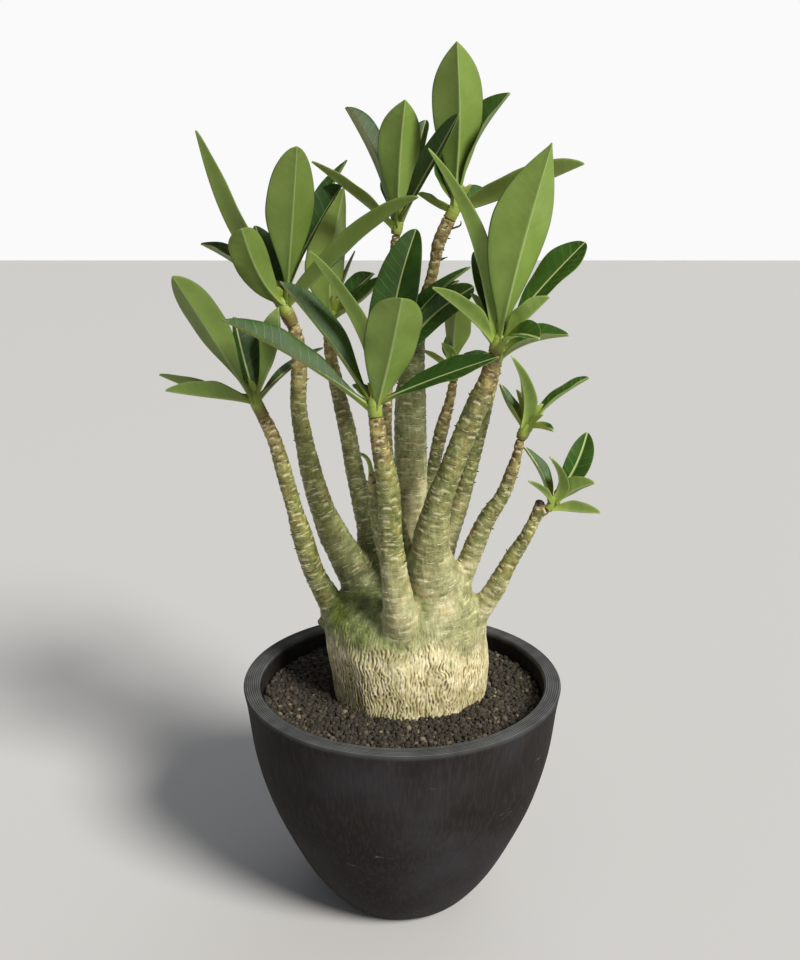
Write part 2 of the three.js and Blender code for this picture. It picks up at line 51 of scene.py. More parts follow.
# ---------------------------------------------------------------- sizes
POT_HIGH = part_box("pot")[1]
POT_RADIUS = POT_HIGH[0] / MM
POT_HEIGHT = POT_HIGH[2] / MM
POT_SIDES = 224
POT_WALL = 10
RIM_ROUND = 1.2
RIM_LINE = 1.15                     # distance between the grooves turned in the rim
RIM_GROOVE = 0.16                   # and their depth
TURNED_STEP = 1.3                   # distance between the paler lines drawn on the rim
WALL_TOP = 145                      # the wall is not quite true up to here
FLOOR_THICK = 9
DRAIN_RADIUS = 5
DRAIN_PITCH = 20
DRAIN_COUNT = 4
FLOOR_MIDDLE = 20                   # radius of the inmost ring of the floor
# outside and inside of the pot: height, radius
POT_OUTSIDE = [(0, 40), (2.5, 44.5), (11, 52.5), (27, 63.5), (50, 75), (77, 86.2), (106, 94),
               (138, 98.2), (POT_HEIGHT - RIM_ROUND, POT_RADIUS)]
POT_INSIDE = [(FLOOR_THICK, 37), (16, 45), (42, 62), (80, 78), (124, 88),
              (POT_HEIGHT - RIM_ROUND, POT_RADIUS - POT_WALL)]

SOIL_LEVEL = 138
BED_SIDES = 160
WALL_GAP = 0.6                      # from the mix to the pot's wall
TRUNK_GAP = 0.9                     # from the mix to the trunk
GRAIN_STEP = 2.3                    # mean distance between grains
GRAIN_SIZES = (0.95, 1.75)          # smallest and largest common grain radius
GRAIN_KINDS = 9                     # different grains in a layer
LARGE_GRAIN = 1.55                  # a rare large grain against a common one
TRUNK_SIDES = 120
TRUNK_STEP = 1.5
# trunk rings: height, centre x, centre y, half width in x, half depth in y
TRUNK_RINGS = [(104, 6, 8, 39, 37), (112, 6, 8, 43, 42), (120, 6, 8, 45, 44),
               (138, 4.5, 9, 48.3, 46), (150, 4.5, 9, 49.5, 46.6), (162, 3.5, 9, 49.9, 47),
               (174, 2, 8, 50.2, 46.6), (185, 1.5, 8, 50.5, 45), (194, 1, 8, 49, 41.5),
               (202, 2, 8, 42, 35), (209, 3, 8, 31, 25)]
LOBE_DEPTH = 1.1                    # depth of the trunk's shallow flutes
MIX_HOLE = (6, 9, 47, 46)           # the trunk where it leaves the mix: centre, half widths
STEM_SIDES = 28
STEM_STEP = 1.5
BARK_VOXEL = 1.2                    # edge of the bark's mesh before it is split in four
CROTCH_PASSES = 45                  # smoothing passes that fill the crotches
GOLDEN_ANGLE = 137.5                # from one leaf scar to the next round the stem
CORDS = (139, 118)                  # upright cords of bark round the trunk, two families
CORD_CENTRE = (4, 8.5)              # the trunk's middle
CORD_DEPTH = 0.9                    # from the crest of a cord to the groove

# stems: points x, y, z, radius from inside the trunk to the cut or living end
STEMS = {
    "far_left": [(-35, 5, 176, 12), (-41, 4, 188, 10), (-45, 2, 199, 7.9), (-54.3, -4, 221, 6.5),
                 (-60, -8, 244, 6.5), (-65, -10, 265, 5), (-70, -11, 286, 5), (-75, -12, 306, 4.4),
                 (-81, -12, 320, 4.1)],
    "low_left": [(-20, 12, 182, 24), (-22, 12, 197, 18), (-28.5, 12, 213, 12), (-42, 12, 238, 9.6),
                 (-50, 12, 258, 7.6), (-56, 12, 280, 6.8), (-60, 13, 300, 5.8), (-63, 14, 321, 5.2),
                 (-62, 14, 343, 5.1), (-62, 14, 358, 4.4), (-65, 14, 370, 4)],
    "back_left": [(-8, 20, 188, 22), (-12, 24, 204, 17), (-17, 28, 222, 12), (-23, 33, 244, 7.4),
                  (-30, 38, 272, 6.1), (-35, 41, 300, 5.7), (-41, 44, 326, 4.9),
                  (-45, 45, 348, 4.2), (-46, 45, 365, 3.6)],
    "front": [(3, -12, 172, 16), (1, -22, 186, 13), (-1, -29.5, 200, 11), (-2.5, -33, 214, 9.4),
              (-5, -35, 234, 8), (-7, -36, 256, 7), (-8, -38, 283, 6.8), (-12, -40, 306, 5.4),
              (-15, -41, 326, 4.4)],
    "middle": [(2, 0, 200, 12), (0, -1, 222, 8), (-4, -2, 247, 5.6), (-7, -3, 279, 4.4),
               (-9.5, -4, 304, 3.7), (-9, -4, 324, 3.3), (-8, -4, 337, 3.1)],
    "crown": [(10, 9, 180, 22), (10, 10, 200, 17), (9, 10, 217, 13), (7, 11, 240, 10.6),
              (6, 12, 262, 10), (5, 14, 300, 10.1), (5, 16, 325, 9.6), (6, 17, 342, 7.6),
              (9, 16, 364, 5.2), (12, 15, 382, 4.2), (16.5, 14, 395, 3.7), (19, 13, 407, 3.5),
              (21, 12, 417, 4.1), (27, 12, 431, 4.2)],
    "top": [(5, 17, 322, 7), (5, 21, 344, 5.2), (3, 24, 363, 3.8), (-1, 29, 383, 3),
            (-5, 31, 402, 2.7), (-4, 31, 422, 3)],
    "back_right": [(13, 24, 190, 14), (14, 28, 210, 9.5), (15, 33, 248, 5.6), (20, 35, 278, 4.3),
                   (25, 36, 302, 4.6), (30, 36, 321, 3.3), (32, 36, 333, 3)],
    "right": [(20, -2, 182, 30), (20, -5, 200, 25), (18, -13, 222, 16.5), (17, -20, 246, 11),
              (21, -26, 272, 8), (27, -29, 290, 7), (36, -32, 316, 6.6), (42, -33, 331, 6.6),
              (48, -34, 348, 5), (51, -34, 360, 4.2)],
    "behind_right": [(26, 4, 190, 22), (26, 5, 208, 16.5), (26, 8, 228, 6.8), (35, 12, 257, 5.8),
                     (41, 13, 279, 4.9), (47, 14, 306, 4.9), (52, 15, 328, 4.5),
                     (56, 15, 346, 4.2)],
    "outer_right": [(30, 0, 182, 20), (33, -1, 200, 12), (36.7, -3, 216, 7), (43, -5, 235, 6.6),
                    (51, -7, 256, 5.6), (60, -8, 271, 4.5), (65, -9, 286, 4.1), (68, -9, 297, 3.1),
                    (69.5, -9, 306, 3)],
    "stump": [(36, -1, 166, 15), (40.5, -2, 180, 11.5), (47.7, -4, 195, 7.4), (57, -5, 210, 6.4),
              (66, -6, 229, 5.1), (76, -7, 247, 4.1), (81, -7, 260, 3.4), (83, -7, 268, 2.9)],
    "side_shoot": [(78, -7, 252, 3.2), (83, -7.3, 259, 2.9), (87.5, -8, 262.5, 2.8)],
    "short_stub": [(-8, -24, 236, 6), (-11.5, -25, 248, 5.2), (-14.5, -26, 262, 4.4),
                   (-16.5, -27, 280, 4), (-17, -27.5, 291, 2.6)],
}
CUT_STEMS = ("stump",)
COLLAR = (-49.5, 0, 186, 3.8)       # small swelling on the left shoulder: x, y, z, radius
# skin of each stem: share of olive, share of cream low down, length of the brown crust by the head
STEM_SKINS = {
    "far_left": (0.9, 0, 30), "low_left": (0.6, 0.1, 40), "back_left": (0.3, 0, 40),
    "front": (0.7, 0.7, 30), "middle": (0.6, 0, 30), "crown": (0.05, 0.8, 60),
    "top": (0.2, 0, 40), "back_right": (0.4, 0, 40), "right": (0.45, 0.5, 30),
    "behind_right": (0.6, 0.7, 20), "outer_right": (0.5, 1, 25), "stump": (0.95, 0.9, 8),
    "side_shoot": (0.6, 0, 4), "short_stub": (0.9, 0.1, 12),
}
# spots of fresh green or moss on the trunk: x, z, radius across, radius up, strength
GREEN_SPOTS = ((-40, 195, 6, 11, 0.9), (-14, 184, 18, 11, 0.22), (13, 207, 2.6, 2.6, 0.7),
               (29, 172, 2.4, 2.4, 0.55), (42, 198, 9, 14, 0.28))
# and of cream
PALE_SPOTS = ((24, 208, 12, 16, 0.9), (8, 186, 9, 7, 0.5))

STUB_LEAF = ((-16.5, -27.5, 289), (-26.5, -27.5, 302))      # foot and tip
# longer dead stalks: points x, y, z, radius
LONG_STALKS = (
    ((25, 12, 424.5, 0.6), (30, 12, 426, 0.6), (33.5, 12, 427.5, 0.5), (33.8, 12, 430, 0.2)),
    ((18, 13, 406.6, 1), (22, 13, 408, 0.9), (26.5, 13, 409.5, 0.2)),
)

# leaf heads: the middle of the green shoot tip, x, y, z and its radius
HEADS = {
    "far_left": (-86, -12, 330.5, 4.2), "low_left": (-71, 14, 382.5, 5),
    "back_left": (-44.5, 45, 371, 3.8), "front": (-15.5, -41, 332, 4.6),
    "middle": (-7, -4, 343, 3.6), "crown": (30.5, 12, 437.5, 4.2), "top": (-2.5, 31, 428, 3.8),
    "back_right": (31.5, 36, 340.5, 3.6), "right": (53, -34, 367.5, 4.8),
    "behind_right": (58, 15, 354, 4), "outer_right": (73, -9, 313.5, 4),
    "side_shoot": (90.5, -8, 266, 3),
}
# blade shapes: place of the widest point, slimness of the foot, fullness of the tip, point of
# the tip, rise of the edges over the midrib as a share of the half width, lean of the bend
LEAF_SHAPES = {
    "broad": (0.62, 2.2, 2.8, 0.7, 0.2, 1),
    "paddle": (0.62, 2.2, 2, 0.6, 0.2, 1),
    "spatula": (0.7, 1.9, 2.6, 0.6, 0.1, 1),
    "oblong": (0.64, 0.8, 3, 0.6, 0.2, 0.8),
    "blunt": (0.66, 1, 3, 0.6, 0.2, 1),
    "folded": (0.64, 1.1, 3, 0.6, 0.35, 1),
    "oval": (0.6, 1.3, 2, 0.7, 0.25, 1),
    "pointed": (0.64, 1.5, 2.5, 0.95, 0.3, 1),
    "keel": (0.6, 1.4, 1.75, 1.05, 0.3, 1),
    "flat": (0.6, 1.7, 2.3, 0.95, 0.1, 1),
    "egg": (0.42, 1.1, 2, 0.55, 0.15, 1),
    "ovate": (0.42, 1.2, 1.8, 0.8, 0.2, 1),
    "lance": (0.5, 1.1, 1.7, 0.75, 0.3, 1),
    "dart": (0.4, 1, 1.5, 1, 0.25, 1),
    "arched": (0.5, 1.1, 1.7, 0.75, 0.25, 0.7),
    "hooked": (0.45, 1.1, 1.6, 0.9, 0.25, 1.2),
    "strap": (0.5, 0.6, 3.2, 0.7, 0.25, 1.8),
    "belt": (0.5, 0.6, 2.8, 0.8, 0.25, 0.6),
    "spoon": (0.74, 1.8, 2.4, 0.7, 0.3, 1),
    "trough": (0.62, 1.2, 2.6, 0.6, 0.55, 1),
    "young": (0.5, 1.1, 1.6, 0.7, 0.5, 1),
}
# leaves of each head: shape, tip from the head, how far the middle of the blade bends out of
# the straight line from foot to tip, both x, y, z, then width and turn about that line
LEAVES = {
    "far_left": [
        ("broad", (-38, -22, 71), (0, 0, 0), 22, 45),
        ("lance", (-13, 20, 45), (-0.7, 0, 0), 22, 15),
        ("pointed", (14, 12, 51), (4.9, 0, 0.3), 18, -75),
        ("lance", (35, 70, 20.5), (-0.7, 0, 2.4), 8, 0),
        ("lance", (-48, -12, 7), (-0.3, 0, -0.6), 17, 35),
        ("lance", (-57, 14, 12), (0, 0, -3.2), 13, 30),
        ("oval", (-33, 38, 40), (0, 0, 0), 20, 5)],
    "low_left": [
        ("paddle", (12.5, -16, 87.5), (0.5, 0, 0), 29, -12),
        ("oblong", (-18.5, -26, 43.5), (-3.3, 0, -1.8), 21, 55),
        ("lance", (-44.5, -6, 96.5), (-6.8, 0, -3.5), 20, 24),
        ("oval", (-17.5, 22, 44.5), (0, 0, 0), 18, 0),
        ("lance", (-48.5, 12, 34.5), (0.9, 0, 3.6), 20, -10),
        ("trough", (35.5, 14, 67.5), (-1.8, 0, 0.9), 17, 39),
        ("strap", (79.5, -34, 60.5), (-1.8, 0, 2.4), 17, -20),
        ("lance", (-2, 8, 13), (0, 0, 0), 7, 30),
        ("pointed", (37.5, 30, 82.5), (-3, 0, 0), 14, 0),
        ("oval", (-21.5, 48, 26.5), (0, 0, 0), 18, 10)],
    "back_left": [
        ("ovate", (9, 0, 78), (-3, 0, 0), 29, -54),
        ("pointed", (27, 6, 27), (0, 0, 1.5), 15, 30),
        ("lance", (33, -6, 26), (1.8, 0, -2.3), 15, 35),
        ("lance", (14, 24, 40), (0, 0, 2), 3.4, -20),
        ("oval", (4, 40, 61), (0, 0, 0), 20, -40)],
    "front": [
        ("blunt", (15, -20, 60), (1, 0, 0), 30, -27),
        ("arched", (-34, 4, 83), (7.7, 0, 2.9), 15, 40),
        ("pointed", (-52, 18, 66), (1.4, 0, 1), 20.5, -10),
        ("pointed", (-81, -2, 47), (0.9, 0, 2.4), 19, -20),
        ("oval", (-12, 10, 10), (0, 0, 0), 12, 0),
        ("flat", (67, -8, 28), (0, 0, 1.1), 22, 25)],
    "middle": [
        ("egg", (15, 16, 82.5), (-4.5, 0, 0), 28, 30),
        ("blunt", (48, 4, 50.5), (-4.6, 0, 4.2), 16, 70),
        ("lance", (46, 8, 61.5), (-6.4, 0, 4.6), 14, 15),
        ("lance", (40, 12, 53.5), (-7, 0, 5), 12, 30)],
    "crown": [
        ("pointed", (-1, -9, 87), (2.7, 0, 0), 29, 0),
        ("pointed", (30, 6, 62.5), (-4.8, 0, 2.3), 24, 20),
        ("belt", (70, -16, 23.5), (1.2, 0, -2.9), 23, -24),
        ("oval", (21, 20, 9), (0, 0, 2.5), 14, 15),
        ("belt", (-21, 14, 8), (-1.2, 0, -2.3), 9, 30),
        ("lance", (-9, 14, 30), (-2, 0, 0), 15, -10),
        ("oval", (3, 42, 62), (0, 0, 0), 24, -40)],
    "top": [
        ("pointed", (4, -16, 68), (-0.7, 0, 0), 25, -10),
        ("folded", (-31, 16, 67), (2.6, 0, 1.1), 20, 0),
        ("oval", (33, -45, 58), (-0.7, 0, -1.1), 15, 85),
        ("lance", (-49, -16, 35), (-0.2, 0, -0.1), 12, 5),
        ("oval", (10, 26, 33), (0, 0, 0), 14, 0),
        ("spoon", (17, 30, 61), (0, 0, 0), 14, 0),
        ("oval", (2, 44, 49), (0, 0, 0), 22, -40)],
    "back_right": [
        ("broad", (2, -12, 44), (-1, 0, 0), 18.5, -40),
        ("lance", (-19, -8, 13), (0, 0, 0), 6, 15),
        ("lance", (-7, -6, 17), (0, 0, 0), 11, 0),
        ("oval", (23, 16, 8), (0, 0, 0), 14, 5),
        ("oval", (4, 30, 23), (0, 0, 0), 16, -45)],
    "right": [
        ("keel", (22, -20, 101), (-0.9, 0, -0.7), 34, -35),
        ("hooked", (-39, 6, 100), (5.3, 0, 1.8), 16, 38),
        ("spatula", (46.5, 10, 51.5), (-1, 0, 1), 24, 25),
        ("lance", (-37, -12, 29), (0.5, 0, 0.5), 14, 20),
        ("oval", (-13, 22, 46), (0, 0, 0), 18, 0),
        ("lance", (-15, 12, 24), (0, 0, 0), 8, 60),
        ("oval", (25, -10, 24), (0, 0, 0), 18, -15),
        ("oval", (19, -22, 3), (0, 0, 2.4), 16, 27),
        ("oval", (22, 44, 71), (0, 0, 0), 24, -20)],
    "behind_right": [
        ("lance", (40, -8, 11), (-1, 0, 2.5), 20, 15),
        ("oval", (-10, 30, 12), (0, 0, 0), 14, 15),
        ("oval", (17, 28, 10), (0, 0, 0), 15, 0)],
    "outer_right": [
        ("dart", (-11, -10, 43), (3.6, 0, 1), 13, -10),
        ("lance", (-15, 12, 23), (-1.8, 0, -1), 11, 10),
        ("lance", (-5, 10, 20), (0, 0, 0), 9, 40),
        ("oblong", (36, 6, 28), (-2.2, 0, 2.6), 12, 0),
        ("oval", (8, -8, 9), (0, 0, 0), 7, -10),
        ("lance", (14, -12, 0), (0, 0, 0.4), 8, 0)],
    "side_shoot": [
        ("oval", (20, 8, 42), (3.2, 0, 0), 15.5, 65),
        ("dart", (-4, -8, 31), (5.3, 0, 0), 11.5, -45),
        ("lance", (22, -12, 16), (0, 0, 2.2), 13, -50),
        ("lance", (27, -8, -3), (0, 0, -0.8), 12, -40),
        ("lance", (-17, 12, 32), (1.6, 0, 0.9), 11, 0),
        ("lance", (-17, -14, 18), (0.1, 0, 0.6), 6, 0)],
}
LEAF_STEPS = 46                     # stations along a leaf
# places across a leaf as shares of its half width, from the midrib out
LEAF_COLUMNS = (0.07, 0.2, 0.4, 0.62, 0.82, 0.955, 1)
BLADE_THICK = 0.75
EDGE_THICK = 0.35
VEIN_PITCH = 5.5
QUILT_DEPTH = 0.13                  # the blade swells this much between its side veins
KEEL_DEPTH = 0.75                   # midrib under the blade
CHANNEL_DEPTH = 0.3                 # midrib's channel on top of it
FOOT_SWELL = 1.3                    # a leaf is this much thicker at its foot
LEAF_FOOT = 1.7                     # half width of a leaf's foot
LEAF_TIP = 0.3                      # half width of its very tip
FOLD_MORE = 2.2                     # the thin blade is folded more than the part's thick one
YOUNG_LEAVES = 3                    # tiny leaves at each growing point


# ---------------------------------------------------------------- shapes
CURVE_STEPS = 16                    # stations between two given points of a curve


def path_points(rows, step):
    """Even stations on a smooth curve through rows: points, tangents, radii, distances."""
    rows = np.array(rows, float)
    middle = rows[:, :3]
    before = 2 * middle[0] - middle[1]
    after = 2 * middle[-1] - middle[-2]
    knots = np.vstack([before, middle, after])
    fine, radii = [], []
    for k in range(len(rows) - 1):
        p0, p1, p2, p3 = knots[k:k + 4]
        d0, d1, d2 = (math.sqrt(np.linalg.norm(b - a)) for a, b in ((p0, p1), (p1, p2), (p2, p3)))
        t1 = ((p1 - p0) / d0 - (p2 - p0) / (d0 + d1) + (p2 - p1) / d1) * d1
        t2 = ((p2 - p1) / d1 - (p3 - p1) / (d1 + d2) + (p3 - p2) / d2) * d1
        last = k == len(rows) - 2
        for u in np.linspace(0, 1, CURVE_STEPS + 1)[: CURVE_STEPS + last]:
            bend = -3 * p1 + 3 * p2 - 2 * t1 - t2
            fine.append(p1 + t1 * u + bend * u * u + (2 * p1 - 2 * p2 + t1 + t2) * u ** 3)
            smooth = u * u * (3 - 2 * u)
            radii.append(rows[k, 3] + smooth * (rows[k + 1, 3] - rows[k, 3]))
    fine = np.array(fine)
    gaps = np.linalg.norm(np.diff(fine, axis=0), axis=1)
    run = np.concatenate([[0], np.cumsum(gaps)])
    count = max(3, round(run[-1] / step) + 1)
    places = np.linspace(0, run[-1], count)
    points = np.stack([np.interp(places, run, fine[:, i]) for i in range(3)], axis=1)
    tangents = np.gradient(points, axis=0)
    tangents /= np.linalg.norm(tangents, axis=1)[:, None]
    return points, tangents, np.interp(places, run, radii), places


def ring_frames(tangents):
    """Two directions square to each tangent, which turn as little as they can."""
    side = np.array([1.0, 0.0, 0.0] if abs(tangents[0][0]) < 0.9 else [0.0, 0.0, 1.0])
    sides = []
    for tangent in tangents:
        side = side - tangent * np.dot(side, tangent)
        side = side / np.linalg.norm(side)
        sides.append(side)
    sides = np.array(sides)
    return sides, np.cross(tangents, sides)


def loft(rings):
    """Points and faces of a closed skin over rings, with a middle point at each end."""
    rings = np.asarray(rings, float)
    count, sides = rings.shape[:2]
    points = np.vstack([rings.reshape(-1, 3), rings[0].mean(0), rings[-1].mean(0)])
    faces = []
    for k in range(count - 1):
        for i in range(sides):
            a = k * sides + i
            b = k * sides + (i + 1) % sides
            faces.append((a, b, b + sides, a + sides))
    first, last = count * sides, count * sides + 1
    for i in range(sides):
        j = (i + 1) % sides
        faces.append((first, j, i))
        faces.append((last, first - sides + i, first - sides + j))
    return points, faces


def tube(points, tangents, radii, sides):
    """Closed skin of a round rod with the given radii."""
    across, other = ring_frames(tangents)
    angles = np.linspace(0, 2 * math.pi, sides, endpoint=False)
    ring = across[:, None] * np.cos(angles)[:, None] + other[:, None] * np.sin(angles)[:, None]
    return loft(points[:, None] + ring * np.asarray(radii)[:, None, None])


def joined(shapes):
    """One list of points and faces from several."""
    points, faces, start = [], [], 0
    for some, their_faces in shapes:
        points.append(some)
        faces.extend(tuple(i + start for i in face) for face in their_faces)
        start += len(some)
    return np.vstack(points), faces


def turned(profile, sides):
    """Skin of a turned profile of (height, radius) pairs."""
    angles = np.linspace(0, 2 * math.pi, sides, endpoint=False)
    heights, radii = np.array(profile, float).T
    rings = np.zeros((len(heights), sides, 3))
    rings[:, :, 0] = radii[:, None] * np.cos(angles)
    rings[:, :, 1] = radii[:, None] * np.sin(angles)
    rings[:, :, 2] = heights[:, None]
    return loft(rings)


def mesh_object(name, shape):
    points, faces = shape
    mesh = bpy.data.meshes.new(name)
    mesh.from_pydata((np.asarray(points) * MM).tolist(), [], faces)
    mesh.shade_smooth()
    piece = bpy.data.objects.new(name, mesh)
    bpy.context.scene.collection.objects.link(piece)
    return piece


def applied(piece, kind, **settings):
    """Adds a modifier to the piece and applies it to the mesh."""
    modifier = piece.modifiers.new(kind.lower(), kind)
    for key, value in settings.items():
        setattr(modifier, key, value)
    graph = bpy.context.evaluated_depsgraph_get()
    mesh = bpy.data.meshes.new_from_object(piece.evaluated_get(graph))
    piece.modifiers.clear()
    old = piece.data
    piece.data = mesh
    bpy.data.meshes.remove(old)
    mesh.name = piece.name


def mark(piece, name, values):
    """Keeps a number or a triple for each point of the mesh, for its material to read."""
    values = np.asarray(values, float)
    kind, key = ("FLOAT", "value") if values.ndim == 1 else ("FLOAT_VECTOR", "vector")
    layer = piece.data.attributes.new(name, kind, "POINT")
    layer.data.foreach_set(key, values.ravel())


def points_of(piece):
    values = np.empty(len(piece.data.vertices) * 3)
    piece.data.vertices.foreach_get("co", values)
    return values.reshape(-1, 3) / MM


def normals_of(piece):
    values = np.empty(len(piece.data.vertices) * 3)
    piece.data.vertex_normals.foreach_get("vector", values)
    return values.reshape(-1, 3)


def set_points(piece, points):
    piece.data.vertices.foreach_set("co", (points * MM).ravel())
    piece.data.update()


def smoothstep(low, high, value):
    """Smooth share from 0 at low to 1 at high."""
    share = np.clip((value - low) / (high - low), 0, 1)
    return share * share * (3 - 2 * share)


def field(points, sizes, seed=0.0):
    """Smooth noise from about -1 to 1 at each point, in patches of the given sizes."""
    places = np.asarray(points) / np.asarray(sizes, float) + seed
    return np.fromiter((noise.noise(p) for p in places.tolist()), float, len(places))


# ---------------------------------------------------------------- materials
# bark's dark, middle and light tones: living grey-green, olive, brown crust, cream, moss
BARK_TONES = (("#56603a", "#75804c", "#9aa270"), ("#57581a", "#7a7a2b", "#9b984b"),
              ("#5a4e2a", "#857545", "#b0a060"), ("#cdc190", "#e3d9ad", "#f2eac8"),
              ("#4c5f14", "#65781e", "#849136"))
RING_REPEATS = (0.14, 0.14, 0.85)   # rings of stem skin, per mm: 7 mm round, 1.2 mm along
SCAR_REPEATS = (0.25, 0.25, 0.3)    # old leaf scars, per mm: 4 mm round, 3.3 mm along


def srgb(text):
    """Linear colour from an sRGB hex value."""
    parts = [int(text[i:i + 2], 16) / 255 for i in (1, 3, 5)]
    linear = [c / 12.92 if c <= 0.04045 else ((c + 0.055) / 1.055) ** 2.4 for c in parts]
    return (*linear, 1)


def per_metre(size):
    """Repeats per metre, to two figures, of a pattern whose size is given in millimetres."""
    return float(f"{1000 / size:.2g}")


def add(tree, kind, inputs=(), stops=(), **settings):
    """Adds a shader node. Inputs go by name, or in their order when they come as a list. A hex
    value is a colour, and a node stands for its first output in use."""
    made = tree.nodes.new("ShaderNode" + kind)
    for key, value in settings.items():
        setattr(made, key, value)
    named = isinstance(inputs, dict)
    sockets = made.inputs if named else [socket for socket in made.inputs if socket.enabled]
    for key, value in inputs.items() if named else enumerate(inputs):
        if isinstance(value, bpy.types.Node):
            value = next(output for output in value.outputs if output.enabled)
        if isinstance(value, bpy.types.NodeSocket):
            tree.links.new(value, sockets[key])
        else:
            sockets[key].default_value = srgb(value) if isinstance(value, str) else value
    for k, (place, colour) in enumerate(stops):
        if k == len(made.color_ramp.elements):
            made.color_ramp.elements.new(1)
        made.color_ramp.elements[k].position = place
        made.color_ramp.elements[k].color = srgb(colour)
    return made


def layered(tree, base, *layers):
    """Colours laid over a base one after the other, each given as its share and colour."""
    for share, colour in layers:
        base = add(tree, "Mix", [share, base, colour], data_type="RGBA")
    return base


def start_material(name):
    material = bpy.data.materials.new(name)
    material.use_nodes = True
    material.node_tree.nodes.clear()
    return material, material.node_tree


def finish_material(material, finish):
    """Gives a material its shader, with a finish of colours and numbers or nodes."""
    shader = add(material.node_tree, "BsdfPrincipled", finish)
    add(material.node_tree, "OutputMaterial", {"Surface": shader})
    return material


# every MapRange below lists its value, then the span it comes from and the span it goes to
def charcoal_polypropylene():
    """Injection-moulded polypropylene with a turned rim: matt charcoal, faint flow marks,
    a soft dusty bloom and a few pale scratches."""
    material, tree = start_material("charcoal_polypropylene")
    where = add(tree, "TexCoord").outputs["Object"]
    # dusty bloom in clouds about 67 mm across
    cloud = add(tree, "TexNoise", {"Vector": where, "Scale": per_metre(67), "Detail": 5})
    base = add(tree, "ValToRGB", [cloud],
               [(0.34, "#1b1817"), (0.5, "#242120"), (0.68, "#303033")])
    # upright flow marks about 1.5 mm apart
    upright = add(tree, "Mapping", {"Vector": where, "Scale": (1, 1, 0.06)})
    flow = add(tree, "TexNoise", {"Vector": upright, "Scale": per_metre(1.54), "Detail": 3})
    flow = add(tree, "MapRange", [flow, 0.45, 0.7, 0, 0.3])
    # fine turned lines on the rim, the colour of scraped plastic
    level = add(tree, "VectorMath", [where, (1, 1, 0)], operation="MULTIPLY")
    out = add(tree, "VectorMath", [level], operation="LENGTH")
    turns = add(tree, "Math", [out, 2 * math.pi / (TURNED_STEP * MM)], operation="MULTIPLY")
    line = add(tree, "Math", [turns], operation="SINE")
    line = add(tree, "MapRange", [line, 0.1, 0.9, 0, cloud])
    rim = add(tree, "Attribute", attribute_name="rim").outputs["Fac"]
    worn = add(tree, "Math", [line, rim], operation="MULTIPLY")
    # scratches: thin edges of cells about 26 mm across, shown in a few places only
    tilted = add(tree, "Mapping",
                 {"Vector": where, "Scale": (1, 1, 5), "Rotation": (0.5, 0.3, 0.2)})
    cells = add(tree, "TexVoronoi",
                {"Vector": tilted, "Scale": per_metre(26), "Randomness": 1},
                feature="DISTANCE_TO_EDGE")
    gate = add(tree, "TexNoise", {"Vector": where, "Scale": per_metre(21), "Detail": 0})
    gated = add(tree, "Math", [gate, 0.79], operation="GREATER_THAN")
    thin = add(tree, "Math", [cells, 0.012], operation="LESS_THAN")
    scratch = add(tree, "Math", [gated, thin], operation="MULTIPLY")
    colour = layered(tree, base, (flow, "#413b39"), (rim, "#434547"), (worn, "#8b8d8e"),
                     (scratch, "#575452"))
    # moulded grain about 0.6 mm across
    grain = add(tree, "TexNoise", {"Vector": where, "Scale": per_metre(0.59), "Detail": 2})
    bump = add(tree, "Bump", {"Height": grain, "Strength": 0.18, "Distance": 0.0002})
    rough = add(tree, "MapRange", [cloud, 0, 1, 0.7, 0.84])
    return finish_material(material, {"Base Color": colour, "Roughness": rough, "Normal": bump,
                                      "IOR": 1.49, "Specular IOR Level": 0.14})


def baked_clay_grit():
    """Crushed baked clay and bark crumbs: dry, rough, dark brown to charcoal, some tan."""
    material, tree = start_material("baked_clay_grit")
    where = add(tree, "TexCoord").outputs["Object"]
    tone = add(tree, "Attribute", attribute_name="grain_tone").outputs["Fac"]
    base = add(tree, "ValToRGB", [tone],
               [(0, "#1f1c18"), (0.5, "#332e27"), (0.88, "#484137"), (0.96, "#5f5647"),
                (1, "#857a64")])
    # pores and dust about 0.7 mm across
    crumb = add(tree, "TexNoise", {"Vector": where, "Scale": per_metre(0.71), "Detail": 4})
    dust = add(tree, "MapRange", [crumb, 0.4, 0.8, 0, 0.5])
    bump = add(tree, "Bump", {"Height": crumb, "Strength": 0.7, "Distance": 0.0006})
    return finish_material(material, {"Base Color": layered(tree, base, (dust, "#5f5647")),
                                      "Roughness": 0.92, "Normal": bump, "IOR": 1.5})


def trunk_groove_shade(tree, where, mottle, drifts, furrow_shade):
    """Share of painted shade in the grooves between two families of upright cords of wrinkled bark
    round the trunk, about 2.2 and 2.6 mm apart."""
    centre = (CORD_CENTRE[0] * MM, CORD_CENTRE[1] * MM, 0)
    centred = add(tree, "VectorMath", [where, centre], operation="SUBTRACT")
    from_x, from_y, _ = add(tree, "SeparateXYZ", [centred]).outputs
    turned_by = add(tree, "Math", [from_y, from_x], operation="ARCTAN2")
    waves = []
    for count, shift in zip(CORDS, drifts):
        phase = add(tree, "Math", [turned_by, count, shift], operation="MULTIPLY_ADD")
        waves.append(add(tree, "Math", [phase], operation="COSINE"))
    cord = add(tree, "Math", waves, operation="MAXIMUM")
    frayed = add(tree, "Math", [mottle, 2, cord], operation="MULTIPLY_ADD")
    return add(tree, "MapRange", [frayed, 1.5, 0.7, 0, furrow_shade])


